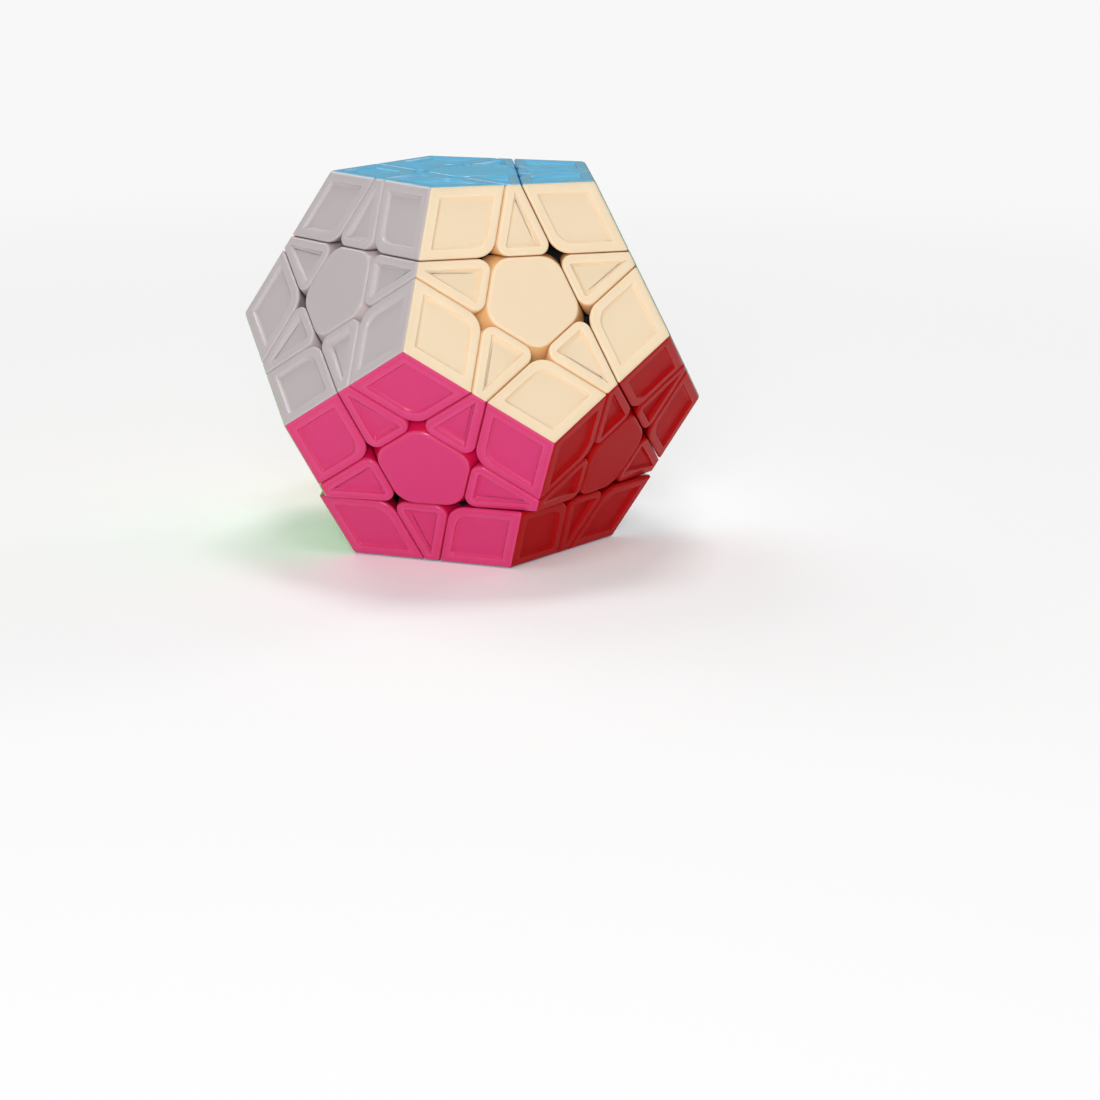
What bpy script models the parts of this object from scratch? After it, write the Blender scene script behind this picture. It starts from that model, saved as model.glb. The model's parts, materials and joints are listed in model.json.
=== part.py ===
"""Twelve-sided twisty puzzle, built from its separate pieces: core, centres, edges, corners, hardware.

Units are metres, +Z up. The origin is the middle of the face that the puzzle stands on, and the beige face
looks along -Y. The middle of the puzzle is straight above the origin. Every layer turns about an axis
through that middle, so every piece has its own origin there. The bottom layer rests a few degrees out of
line with the others, as a puzzle does that was just put down.

A layer is bounded by a flat cut outside the sphere FOOT_TOP, and by a cone inside it. The cone is wider than
the cut, which leaves each edge and corner a foot that is held under its neighbours.
"""

import math

import bmesh
import bpy
from mathutils import Matrix, Vector

# Driving dimensions
EDGE = 0.033                          # edge length of the dodecahedron
GAP = 0.0004                          # clearance between neighbouring pieces
CUT_DEPTH = 0.722 * EDGE              # distance of a layer's cut from the middle of the puzzle
FOOT_TOP = 1.00 * EDGE                # radius of the sphere over the feet
FOOT_BOTTOM = 0.86 * EDGE             # radius of the sphere under the feet
FLANGE_BOTTOM = 0.79 * EDGE           # radius of the sphere under the centres' flanges
FOOT_CONE = math.radians(49.0)        # half angle of the cone that bounds a layer's feet
CONE_CLEARANCE = GAP / 2.0 / math.sin(FOOT_CONE)
STEM_CONE = math.radians(13.8)        # half angle of a centre's stem where it passes between the feet
FLANGE_CONE = math.radians(30.8)      # half angle of a centre's flange
CONE_SIDES = 20
BALL_SUBDIVISIONS = 3
STOCK = 0.2                           # side of the block that a piece is cut from
MERGE = 0.000003                      # corners closer than this are one corner
TOUCH = 0.00001                       # how near to a face of the puzzle counts as on it

# Tiles on the outside
CENTRE_ROUNDING = 0.0038              # how far the rounding of a centre's upright corners reaches
CORNER_ROUNDING = 0.0030
EDGE_ROUNDING = 0.0021
PANEL_ROUNDING = 0.0024
PANEL_ROUNDING_REACH = 0.40 * EDGE    # the panel corner nearer than this to its face's middle is rounded
RIM_BEVEL = 0.0004
CENTRE_BEVEL = 0.0006
PANEL_DEPTH = 0.0005                  # depth of the shallow panel in each corner and edge tile
CORNER_RIM = 0.0019
EDGE_RIM = 0.0015
EDGE_INNER_RIM = 0.0023

# Core, screws and springs
CORE_RADIUS = 0.0085
ARM_RADIUS = 0.0036
ARM_START = 0.0030
ARM_END = 0.0160
STEM_RADIUS = 0.0047
STEM_START = ARM_END + GAP
STEM_TOP = 0.0347                     # the stem ends inside the centre's body
STEM_FLOOR = 0.0205                   # height of the floor that the spring stands on
POCKET_RADIUS = 0.0034
POCKET_TOP = 0.0335
BORE_RADIUS = 0.0017
SCREW_RADIUS = 0.0012
SCREW_START = 0.0110
SCREW_HEAD_RADIUS = 0.0027
SCREW_HEAD_BASE = 0.0300
SCREW_HEAD_TOP = 0.0320
ARM_BORE_START = 0.0105
SPRING_RADIUS = 0.0023
SPRING_WIRE = 0.00032
SPRING_TURNS = 4
SPRING_POINTS_PER_TURN = 8
ROUND_SIDES = 10
OVERRUN = 0.0010                      # how far a cutter runs past the surface that it opens

# A regular dodecahedron
GOLDEN = (1.0 + math.sqrt(5.0)) / 2.0
INRADIUS = EDGE * GOLDEN ** 2 / (2.0 * math.sqrt(3.0 - GOLDEN))
FACE_COS = 1.0 / math.sqrt(5.0)       # cosine of the angle between neighbouring face axes
FACE_SIN = 2.0 / math.sqrt(5.0)
FIFTH = math.radians(72.0)

# The upper ring of faces, clockwise from above, starting at the front, and the lower ring half a step on
UPPER_RING = ("beige", "grey", "orange", "purple", "dark_green")
LOWER_RING = ("pink", "lime", "yellow", "white", "red")
TURNING = ("beige", "orange", "dark_blue")
BOTTOM = "dark_blue"
BOTTOM_TURN = math.radians(-4.6)      # how far the bottom layer rests out of line, about +Z

COLOURS = {
    "light_blue": (0.14, 0.55, 0.76),
    "beige": (0.93, 0.75, 0.52),
    "grey": (0.44, 0.39, 0.42),
    "orange": (0.95, 0.24, 0.03),
    "purple": (0.18, 0.05, 0.36),
    "dark_green": (0.02, 0.20, 0.06),
    "pink": (0.72, 0.07, 0.35),
    "lime": (0.16, 0.68, 0.07),
    "yellow": (0.85, 0.72, 0.02),
    "white": (0.80, 0.80, 0.80),
    "red": (0.38, 0.01, 0.02),
    "dark_blue": (0.01, 0.03, 0.25),
}


def ring_axis(turn, height_sign):
    """Axis of a ring face, `turn` fifths of a circle clockwise from the front."""
    angle = turn * FIFTH
    return Vector((-FACE_SIN * math.sin(angle), -FACE_SIN * math.cos(angle), height_sign * FACE_COS))


def face_axes():
    """Outward axis of every face, by the face's colour."""
    axes = {"light_blue": Vector((0.0, 0.0, 1.0)), "dark_blue": Vector((0.0, 0.0, -1.0))}
    for index, name in enumerate(UPPER_RING):
        axes[name] = ring_axis(index, 1.0)
    for index, name in enumerate(LOWER_RING):
        axes[name] = ring_axis(index + 0.5, -1.0)
    return axes


AXES = face_axes()
NAMES = tuple(COLOURS)


def are_neighbours(first, second):
    """Whether two faces share an edge of the dodecahedron."""
    return abs(AXES[first].dot(AXES[second]) - FACE_COS) < 0.01


def edge_pairs():
    """Each pair of faces that share an edge."""
    return [(a, b) for i, a in enumerate(NAMES) for b in NAMES[i + 1:] if are_neighbours(a, b)]


def corner_triples():
    """Each three faces that share a corner, all taken the same way round."""
    triples = []
    for first, second in edge_pairs():
        for third in NAMES[NAMES.index(second) + 1:]:
            if are_neighbours(first, third) and are_neighbours(second, third):
                side = AXES[first].cross(AXES[second]).dot(AXES[third])
                triples.append((first, second, third) if side > 0.0 else (first, third, second))
    return triples


# The masters are modelled at these faces, then turned to the others
TOP, FRONT, RIGHT = "light_blue", "beige", "dark_green"


def clear_scene():
    """Remove every object of the scene."""
    for old in list(bpy.data.objects):
        bpy.data.objects.remove(old, do_unlink=True)


def make_material(name, colour, roughness, metallic=0.0):
    """Plain Principled material."""
    material = bpy.data.materials.new(name)
    material.use_nodes = True
    shader = material.node_tree.nodes["Principled BSDF"]
    shader.inputs["Base Color"].default_value = (*colour, 1.0)
    shader.inputs["Roughness"].default_value = roughness
    shader.inputs["Metallic"].default_value = metallic
    return material


def new_object(name, data, collection):
    """Object with the given data, linked to a collection."""
    made = bpy.data.objects.new(name, data)
    collection.objects.link(made)
    return made


def pair_frame(first, second):
    """Rotation that carries the X axis to the middle between two faces' axes and the Y axis across them."""
    middle = (AXES[first] + AXES[second]).normalized()
    across = (AXES[first] - AXES[second]).normalized()
    return Matrix((middle, across, middle.cross(across))).transposed()


def axis_rotation(axis):
    """Rotation that carries the Z axis to another axis."""
    return axis.to_track_quat("Z", "Y").to_matrix().to_4x4()


def rotation_to(first, second):
    """Rotation of the puzzle that carries the top and front faces to two other neighbouring faces."""
    return pair_frame(first, second) @ pair_frame(TOP, FRONT).transposed()


class Workshop:
    """Makes mesh objects and cuts or joins them with Booleans."""

    def __init__(self, collection):
        self.collection = collection

    def from_bmesh(self, name, shape):
        """Object from a bmesh."""
        mesh = bpy.data.meshes.new(name)
        shape.to_mesh(mesh)
        shape.free()
        return new_object(name, mesh, self.collection)

    def block(self, name, planes):
        """Convex solid: a cube cut down by planes, each an axis and its distance from the middle."""
        shape = bmesh.new()
        bmesh.ops.create_cube(shape, size=STOCK)
        for axis, distance in planes:
            everything = shape.verts[:] + shape.edges[:] + shape.faces[:]
            bmesh.ops.bisect_plane(shape, geom=everything, plane_co=axis * distance, plane_no=axis,
                                   clear_outer=True, dist=1e-7)
            rim = [edge for edge in shape.edges if edge.is_boundary]
            bmesh.ops.holes_fill(shape, edges=rim)
        bmesh.ops.recalc_face_normals(shape, faces=shape.faces[:])
        return self.from_bmesh(name, shape)

    def ball(self, name, radius, outside=False):
        """Faceted ball. Its facets stay inside the radius, or outside it for a cutter."""
        shape = bmesh.new()
        turn = Matrix.Rotation(math.radians(-90.0), 4, "Z")
        bmesh.ops.create_icosphere(shape, subdivisions=BALL_SUBDIVISIONS, radius=radius, matrix=turn)
        if outside:
            nearest = min(face.calc_center_median().dot(face.normal) for face in shape.faces)
            bmesh.ops.scale(shape, vec=Vector((radius / nearest,) * 3), verts=shape.verts[:])
        return self.from_bmesh(name, shape)

    def cone(self, name, axis, offset, length=0.05, outside=False):
        """Cone of a layer's feet about an axis, with its point moved along the axis by the offset."""
        radius = length * math.tan(FOOT_CONE)
        if outside:
            radius /= math.cos(math.pi / CONE_SIDES)
        shape = bmesh.new()
        spot = Matrix.Translation(axis * (offset + length / 2.0))
        bmesh.ops.create_cone(shape, cap_ends=True, segments=CONE_SIDES, radius1=0.0, radius2=radius,
                              depth=length, matrix=spot @ axis_rotation(axis))
        bmesh.ops.remove_doubles(shape, verts=shape.verts[:], dist=MERGE)
        return self.from_bmesh(name, shape)

    def turned(self, name, profile, sides=ROUND_SIDES):
        """Solid turned about the Z axis from (radius, height) points, listed top to bottom."""
        mesh = bpy.data.meshes.new(name)
        points = [(radius, 0.0, height) for radius, height in profile]
        mesh.from_pydata(points, [(i, i + 1) for i in range(len(points) - 1)], [])
        made = new_object(name, mesh, self.collection)
        screw = made.modifiers.new("turn", "SCREW")
        screw.steps = screw.render_steps = sides
        screw.use_merge_vertices = True
        screw.merge_threshold = MERGE
        self.apply(made)
        return made

    def rod(self, name, axis, radius, start, end):
        """Round rod along an axis, between two distances from the middle."""
        made = self.turned(name, [(0.0, end), (radius, end), (radius, start), (0.0, start)])
        made.data.transform(axis_rotation(axis))
        return made

    def apply(self, made):
        """Make an object's evaluated shape its own mesh."""
        bpy.context.view_layer.update()
        evaluated = made.evaluated_get(bpy.context.evaluated_depsgraph_get())
        mesh = bpy.data.meshes.new_from_object(evaluated)
        made.modifiers.clear()
        made.data = mesh
        shape = bmesh.new()
        shape.from_mesh(mesh)
        bmesh.ops.remove_doubles(shape, verts=shape.verts[:], dist=MERGE)
        bmesh.ops.dissolve_limit(shape, angle_limit=math.radians(0.05), verts=shape.verts[:],
                                 edges=shape.edges[:])
        shape.to_mesh(mesh)
        shape.free()

    def combine(self, target, operation, tool):
        """Boolean on the target. The tool is used up."""
        step = target.modifiers.new(operation.lower(), "BOOLEAN")
        step.operation = operation
        step.object = tool
        self.apply(target)
        bpy.data.objects.remove(tool, do_unlink=True)

    def chamfer(self, made, chosen, offset, segments):
        """Bevel those edges for which chosen(edge) is true."""
        shape = bmesh.new()
        shape.from_mesh(made.data)
        edges = [edge for edge in shape.edges if chosen(edge)]
        bmesh.ops.bevel(shape, geom=edges, offset=offset, segments=segments, profile=0.5, affect="EDGES")
        shape.to_mesh(made.data)
        shape.free()


def lies_on_face(bm_face):
    """Whether a mesh face lies on one of the dodecahedron's faces."""
    middle = bm_face.calc_center_median()
    return any(bm_face.normal.dot(axis) > 0.9999 and middle.dot(axis) > INRADIUS - TOUCH
               for axis in AXES.values())


def is_upright(edge):
    """Whether an edge runs between two of the layer cuts."""
    return not any(lies_on_face(face) for face in edge.link_faces)


def is_rim(edge):
    """Whether an edge borders the outside of the puzzle."""
    return any(lies_on_face(face) for face in edge.link_faces)


def make_foot(shop, layers):
    """Foot inside the cones of its layers, with a domed top and a flat bottom."""
    outward = sum((AXES[layer] for layer in layers), Vector()).normalized()
    foot = shop.block("foot", [(-outward, -FOOT_BOTTOM)])
    shop.combine(foot, "INTERSECT", shop.ball("dome", FOOT_TOP - GAP / 2.0))
    for layer in layers:
        shop.combine(foot, "INTERSECT", shop.cone("cone", AXES[layer], CONE_CLEARANCE))
    return foot


def neighbour_feet_room(shop, layer):
    """Room that a neighbouring layer's feet sweep."""
    room = shop.ball("room", FOOT_TOP + GAP / 2.0, outside=True)
    shop.combine(room, "INTERSECT", shop.cone("cone", AXES[layer], -CONE_CLEARANCE, outside=True))
    return room


def panel_cutter(shop, face, borders):
    """Shallow panel in a tile, bounded by planes set in from the tile's own edges."""
    floor = (-AXES[face], -(INRADIUS - PANEL_DEPTH))
    lid = (AXES[face], INRADIUS + OVERRUN)
    return shop.block("panel", [floor, lid] + borders)


def master_corner(shop):
    """Corner piece of the top, front and right faces."""
    layers = (TOP, FRONT, RIGHT)
    cut = CUT_DEPTH + GAP / 2.0
    planes = [(AXES[layer], INRADIUS) for layer in layers] + [(-AXES[layer], -cut) for layer in layers]
    corner = shop.block("corner", planes)
    shop.chamfer(corner, is_upright, CORNER_ROUNDING, 2)
    shop.chamfer(corner, is_rim, RIM_BEVEL, 1)
    shop.combine(corner, "UNION", make_foot(shop, layers))
    for face in layers:
        borders = []
        for other in layers:
            if other != face:
                tilt = (AXES[other] - AXES[face] * FACE_COS) / FACE_SIN
                outer = (INRADIUS - INRADIUS * FACE_COS) / FACE_SIN - CORNER_RIM
                inner = (cut - INRADIUS * FACE_COS) / FACE_SIN + CORNER_RIM
                borders += [(tilt, outer), (-tilt, -inner)]
        panel = panel_cutter(shop, face, borders)
        shop.chamfer(panel, is_inner_panel_edge(face), PANEL_ROUNDING, 2)
        shop.combine(corner, "DIFFERENCE", panel)
    return corner


def is_inner_panel_edge(face):
    """Chooser of the upright edge of a corner's panel that is nearest to the middle of the face."""
    def chosen(edge):
        middle = (edge.verts[0].co + edge.verts[1].co) / 2.0
        upright = abs((edge.verts[1].co - edge.verts[0].co).normalized().dot(AXES[face])) > 0.99
        return upright and (middle - AXES[face] * middle.dot(AXES[face])).length < PANEL_ROUNDING_REACH
    return chosen


def is_outer_upright(edge):
    """Whether an upright edge reaches the outside of the puzzle."""
    return is_upright(edge) and reaches_face(edge)


def master_edge(shop):
    """Edge piece of the top and front faces."""
    layers = (TOP, FRONT)
    sides = [name for name in NAMES if are_neighbours(name, TOP) and are_neighbours(name, FRONT)]
    own_cut = CUT_DEPTH + GAP / 2.0
    side_cut = CUT_DEPTH - GAP / 2.0
    planes = [(AXES[layer], INRADIUS) for layer in layers] + [(-AXES[layer], -own_cut) for layer in layers]
    planes += [(AXES[side], side_cut) for side in sides]
    edge = shop.block("edge", planes)
    shop.chamfer(edge, is_outer_upright, EDGE_ROUNDING, 2)
    shop.chamfer(edge, is_rim, RIM_BEVEL, 1)
    shop.combine(edge, "UNION", make_foot(shop, layers))
    for side in sides:
        shop.combine(edge, "DIFFERENCE", neighbour_feet_room(shop, side))
    for face, other in ((TOP, FRONT), (FRONT, TOP)):
        tilt = (AXES[other] - AXES[face] * FACE_COS) / FACE_SIN
        inner = (own_cut - INRADIUS * FACE_COS) / FACE_SIN + EDGE_INNER_RIM
        borders = [(-tilt, -inner)]
        for side in sides:
            tilt = (AXES[side] - AXES[face] * FACE_COS) / FACE_SIN
            borders.append((tilt, (side_cut - INRADIUS * FACE_COS) / FACE_SIN - EDGE_RIM))
        shop.combine(edge, "DIFFERENCE", panel_cutter(shop, face, borders))
    return edge


def reaches_face(edge):
    """Whether either end of an edge lies on one of the dodecahedron's faces."""
    return any(vert.co.dot(axis) > INRADIUS - TOUCH for vert in edge.verts for axis in AXES.values())


def arc(radius, start, end, steps):
    """(radius, height) points on a circle about the middle, between two angles from the axis."""
    angles = [start + (end - start) * i / steps for i in range(steps + 1)]
    return [(radius * math.sin(angle), radius * math.cos(angle)) for angle in angles]


def stem_and_flange(shop):
    """Round part of a centre: stem between the feet, flange under them and tube down to the core's arm."""
    stem_radius = FOOT_TOP * math.sin(STEM_CONE)
    top = [(0.0, STEM_TOP), (stem_radius, STEM_TOP)]
    stem = [(stem_radius, FOOT_TOP * math.cos(STEM_CONE))]
    flange_top = arc(FOOT_BOTTOM - GAP, STEM_CONE, FLANGE_CONE, 2)
    tube_angle = math.asin(STEM_RADIUS / FLANGE_BOTTOM)
    flange_bottom = arc(FLANGE_BOTTOM, FLANGE_CONE, tube_angle, 2)
    tube = [(STEM_RADIUS, STEM_START), (0.0, STEM_START)]
    return shop.turned("stem", top + stem + flange_top + flange_bottom + tube)


def master_centre(shop):
    """Centre piece of the top face, solid inside."""
    sides = [name for name in NAMES if are_neighbours(name, TOP)]
    planes = [(AXES[TOP], INRADIUS), (-AXES[TOP], -CUT_DEPTH)]
    planes += [(AXES[side], CUT_DEPTH - GAP / 2.0) for side in sides]
    centre = shop.block("centre", planes)
    shop.chamfer(centre, is_outer_upright, CENTRE_ROUNDING, 2)
    shop.chamfer(centre, is_rim, CENTRE_BEVEL, 1)
    shop.combine(centre, "DIFFERENCE", shop.ball("ball", FOOT_TOP + GAP / 2.0, outside=True))
    shop.combine(centre, "UNION", stem_and_flange(shop))
    return centre


def hollow_centre(shop, centre):
    """Cut the spring's pocket and the screw's bore into a centre of the top face."""
    profile = [(0.0, POCKET_TOP), (POCKET_RADIUS, POCKET_TOP), (POCKET_RADIUS, STEM_FLOOR),
               (BORE_RADIUS, STEM_FLOOR), (BORE_RADIUS, STEM_START - OVERRUN), (0.0, STEM_START - OVERRUN)]
    shop.combine(centre, "DIFFERENCE", shop.turned("pocket", profile))


def make_core(shop, centre, fixed_faces):
    """Core ball with its twelve arms, joined to the centres that keep their place."""
    shape = bmesh.new()
    bmesh.ops.create_uvsphere(shape, u_segments=16, v_segments=10, radius=CORE_RADIUS)
    core = shop.from_bmesh("core", shape)
    for name, axis in AXES.items():
        reach = STEM_FLOOR if name in fixed_faces else ARM_END
        shop.combine(core, "UNION", shop.rod("arm", axis, ARM_RADIUS, ARM_START, reach))
        if name in fixed_faces:
            copy = new_object("copy", centre.data.copy(), shop.collection)
            copy.data.transform(rotation_to(name, neighbours_of(name)[0]).to_4x4())
            shop.combine(core, "UNION", copy)
        else:
            bore = shop.rod("bore", axis, BORE_RADIUS, ARM_BORE_START, ARM_END + OVERRUN)
            shop.combine(core, "DIFFERENCE", bore)
    return core


def neighbours_of(name):
    """Faces that share an edge with a face."""
    return [other for other in NAMES if are_neighbours(name, other)]


def master_screw(shop):
    """Screw with a flat round head, along the Z axis."""
    head = [(0.0, SCREW_HEAD_TOP), (SCREW_HEAD_RADIUS, SCREW_HEAD_TOP), (SCREW_HEAD_RADIUS, SCREW_HEAD_BASE)]
    shank = [(SCREW_RADIUS, SCREW_HEAD_BASE), (SCREW_RADIUS, SCREW_START), (0.0, SCREW_START)]
    return shop.turned("screw", head + shank)


def master_spring(shop):
    """Coil spring round the Z axis, between the pocket's floor and the screw's head."""
    curve = bpy.data.curves.new("spring", "CURVE")
    curve.dimensions = "3D"
    curve.bevel_depth = SPRING_WIRE
    curve.bevel_resolution = 0
    curve.use_fill_caps = True
    low = STEM_FLOOR + SPRING_WIRE + GAP
    high = SCREW_HEAD_BASE - SPRING_WIRE - GAP
    count = SPRING_TURNS * SPRING_POINTS_PER_TURN
    line = curve.splines.new("POLY")
    line.points.add(count)
    for index, point in enumerate(line.points):
        angle = 2.0 * math.pi * index / SPRING_POINTS_PER_TURN
        height = low + (high - low) * index / count
        point.co = (SPRING_RADIUS * math.cos(angle), SPRING_RADIUS * math.sin(angle), height, 1.0)
    return new_object("spring", curve, shop.collection)


def place(name, data, rotation, material, collection):
    """Finished piece at the middle of the puzzle, with its own material."""
    made = new_object(name, data.copy(), collection)
    made.data.materials.clear()
    made.data.materials.append(material)
    made.matrix_world = Matrix.Translation((0.0, 0.0, INRADIUS)) @ rotation.to_4x4()
    return made


def resting(faces, rotation):
    """Rotation at rest of a piece of these faces, with the bottom layer's own turn."""
    return Matrix.Rotation(BOTTOM_TURN, 3, "Z") @ rotation if BOTTOM in faces else rotation


def smooth(made):
    """Shade a round piece smooth, keeping its sharp edges."""
    made.data.shade_smooth()
    made.data.set_sharp_from_angle(angle=math.radians(30.0))


def main():
    """Model the puzzle."""
    clear_scene()
    scene = bpy.context.scene
    parts = bpy.data.collections.new("dodecahedron_puzzle")
    bench = bpy.data.collections.new("workshop")
    scene.collection.children.link(parts)
    scene.collection.children.link(bench)
    shop = Workshop(bench)
    plastics = {name: make_material(name, colour, 0.35) for name, colour in COLOURS.items()}
    dark_plastic = make_material("dark_plastic", (0.02, 0.02, 0.022), 0.5)
    steel = make_material("steel", (0.6, 0.6, 0.62), 0.3, metallic=1.0)

    corner = master_corner(shop)
    edge = master_edge(shop)
    centre = master_centre(shop)
    core = make_core(shop, centre, [name for name in NAMES if name not in TURNING])
    hollow_centre(shop, centre)
    screw = master_screw(shop)
    spring = master_spring(shop)

    place("core_with_nine_centres", core.data, Matrix.Identity(3), dark_plastic, parts)
    for faces in corner_triples():
        turn = resting(faces, rotation_to(faces[0], faces[1]))
        place("_".join(("corner", *faces)), corner.data, turn, plastics[faces[0]], parts)
    for faces in edge_pairs():
        turn = resting(faces, rotation_to(*faces))
        place("_".join(("edge", *faces)), edge.data, turn, plastics[faces[0]], parts)
    for name in TURNING:
        turn = rotation_to(name, neighbours_of(name)[0])
        place(f"centre_{name}", centre.data, resting([name], turn), plastics[name], parts)
        smooth(place(f"screw_{name}", screw.data, turn, steel, parts))
        place(f"spring_{name}", spring.data, turn, steel, parts)
    for master in (corner, edge, centre, core, screw, spring):
        bpy.data.objects.remove(master, do_unlink=True)
    scene.collection.children.unlink(bench)
    bpy.data.collections.remove(bench)


main()
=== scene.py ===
"""Looks of the dodecahedron twisty puzzle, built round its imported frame.

Coloured shells clip over dark inner pieces, which turn on springs and screws round a twelve-armed core. Every
size is worked out from the frame's own height. All pieces are modelled round the middle of the puzzle and then
moved up to it, and the finished objects sit at the origin.
"""

from __future__ import annotations

import json
import logging
import math
from collections.abc import Sequence
from dataclasses import dataclass, field
from enum import Enum

import bmesh
import bpy
from mathutils import Matrix, Vector

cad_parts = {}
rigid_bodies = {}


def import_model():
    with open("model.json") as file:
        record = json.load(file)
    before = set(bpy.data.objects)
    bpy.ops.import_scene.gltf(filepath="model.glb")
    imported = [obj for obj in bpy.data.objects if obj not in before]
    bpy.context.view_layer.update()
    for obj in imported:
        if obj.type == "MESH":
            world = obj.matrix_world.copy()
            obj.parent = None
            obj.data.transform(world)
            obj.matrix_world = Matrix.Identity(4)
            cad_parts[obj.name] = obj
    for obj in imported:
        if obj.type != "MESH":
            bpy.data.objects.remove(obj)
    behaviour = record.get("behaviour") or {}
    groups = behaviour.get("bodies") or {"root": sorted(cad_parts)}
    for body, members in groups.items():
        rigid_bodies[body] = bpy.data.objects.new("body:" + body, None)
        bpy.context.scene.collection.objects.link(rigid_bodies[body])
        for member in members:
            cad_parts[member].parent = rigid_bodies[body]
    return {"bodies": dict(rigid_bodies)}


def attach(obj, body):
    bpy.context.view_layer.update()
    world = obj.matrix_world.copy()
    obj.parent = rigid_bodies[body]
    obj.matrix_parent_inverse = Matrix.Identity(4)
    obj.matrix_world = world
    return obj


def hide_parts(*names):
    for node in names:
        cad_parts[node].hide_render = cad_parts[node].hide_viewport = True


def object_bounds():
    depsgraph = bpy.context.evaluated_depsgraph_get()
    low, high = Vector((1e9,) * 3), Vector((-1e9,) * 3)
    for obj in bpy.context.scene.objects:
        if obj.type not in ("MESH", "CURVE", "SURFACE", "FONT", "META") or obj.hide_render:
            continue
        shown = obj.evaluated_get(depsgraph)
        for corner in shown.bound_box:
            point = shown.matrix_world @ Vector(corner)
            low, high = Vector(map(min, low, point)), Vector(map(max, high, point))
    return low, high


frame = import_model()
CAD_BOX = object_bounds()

LOG = logging.getLogger("twisty_puzzle")
MM = 0.001

# A regular dodecahedron of the frame's height
GOLDEN = (1.0 + math.sqrt(5.0)) / 2.0
INRADIUS = (CAD_BOX[1].z - CAD_BOX[0].z) / 2.0
EDGE = INRADIUS * 2.0 * math.sqrt(3.0 - GOLDEN) / GOLDEN ** 2
MIDDLE = Vector((0.0, 0.0, CAD_BOX[0].z + INRADIUS))
FACE_COS = 1.0 / math.sqrt(5.0)
FACE_SIN = 2.0 / math.sqrt(5.0)
FACE_TURN = math.acos(FACE_COS)       # angle between neighbouring faces' axes
FIFTH = math.radians(72.0)

# The cuts between layers, and the feet that hold the pieces in
GAP = 0.4 * MM
CUT = 0.722 * EDGE
FOOT_TOP = 1.00 * EDGE
FOOT_BOTTOM = 0.86 * EDGE
FLANGE_BOTTOM = 0.79 * EDGE
FOOT_CONE = math.radians(49.0)
CONE_CLEARANCE = GAP / 2.0 / math.sin(FOOT_CONE)
STEM_CONE = math.radians(13.8)
FLANGE_CONE = math.radians(30.8)
BOTTOM_TURN = math.radians(-4.6)      # the bottom layer rests a little out of line
SAME_COS = 0.01                       # how near two cosines are to count as the same
BEARING_SLACK = 0.1                   # radians that keep a face at bearing 0 from being sorted last

# How the shells sit on the inner pieces
SKIRT = 4.6 * MM                      # depth of a shell's side walls, clear of the feet that sweep below
PLATE = 1.6 * MM                      # thickness of a shell's outer face
WALL = 1.2 * MM
FIT = 0.05 * MM                       # clearance of a shell on its inner piece
JOIN = 0.012 * MM                     # half of the hairline between two shells of one piece
SHELL_GAP = 0.13 * MM                 # the shells close most of the gap between the inner pieces


class Face(Enum):
    """The puzzle's twelve faces, by colour."""

    LIGHT_BLUE = "light_blue"
    BEIGE = "beige"
    GREY = "grey"
    ORANGE = "orange"
    PURPLE = "purple"
    DARK_GREEN = "dark_green"
    PINK = "pink"
    LIME = "lime"
    YELLOW = "yellow"
    WHITE = "white"
    RED = "red"
    DARK_BLUE = "dark_blue"


def ring_axis(turn: float, height_sign: float) -> Vector:
    """Give the axis of a ring face.

    Args:
        turn: Fifths of a circle clockwise from the front, seen from above.
        height_sign: 1 for the upper ring and -1 for the lower ring.

    Returns:
        The face's outward unit vector.
    """
    angle = turn * FIFTH
    return Vector((-FACE_SIN * math.sin(angle), -FACE_SIN * math.cos(angle), height_sign * FACE_COS))


def face_axes() -> dict[Face, Vector]:
    """Give every face's outward axis.

    Returns:
        The outward axis of each face.
    """
    axes = {Face.LIGHT_BLUE: Vector((0.0, 0.0, 1.0)), Face.DARK_BLUE: Vector((0.0, 0.0, -1.0))}
    upper = (Face.BEIGE, Face.GREY, Face.ORANGE, Face.PURPLE, Face.DARK_GREEN)
    lower = (Face.PINK, Face.LIME, Face.YELLOW, Face.WHITE, Face.RED)
    for index in range(5):
        axes[upper[index]] = ring_axis(index, 1.0)
        axes[lower[index]] = ring_axis(index + 0.5, -1.0)
    return axes


AXES = face_axes()
FACES = tuple(Face)


def are_neighbours(first: Face, second: Face) -> bool:
    """Say whether two faces share an edge."""
    return abs(AXES[first].dot(AXES[second]) - FACE_COS) < SAME_COS


def neighbours_of(face: Face) -> list[Face]:
    """Give the five faces round a face, anticlockwise seen from outside.

    Args:
        face: The face in the middle.

    Returns:
        Its five neighbours, anticlockwise seen from outside.
    """
    around = [other for other in FACES if are_neighbours(face, other)]
    start = toward(face, around[0])
    side = AXES[face].cross(start)

    def bearing(other: Face) -> float:
        """Angle of another face round this one."""
        way = toward(face, other)
        return math.atan2(way.dot(side), way.dot(start)) % math.tau

    return sorted(around, key=lambda other: (bearing(other) + BEARING_SLACK) % math.tau)


def toward(face: Face, other: Face) -> Vector:
    """Give the unit vector in a face's plane that points to a neighbouring face."""
    return (AXES[other] - AXES[face] * FACE_COS) / FACE_SIN


def edge_pairs() -> list[tuple[Face, ...]]:
    """Give each pair of faces that share an edge, in the frame's own order."""
    return [(a, b) for i, a in enumerate(FACES) for b in FACES[i + 1:] if are_neighbours(a, b)]


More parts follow.
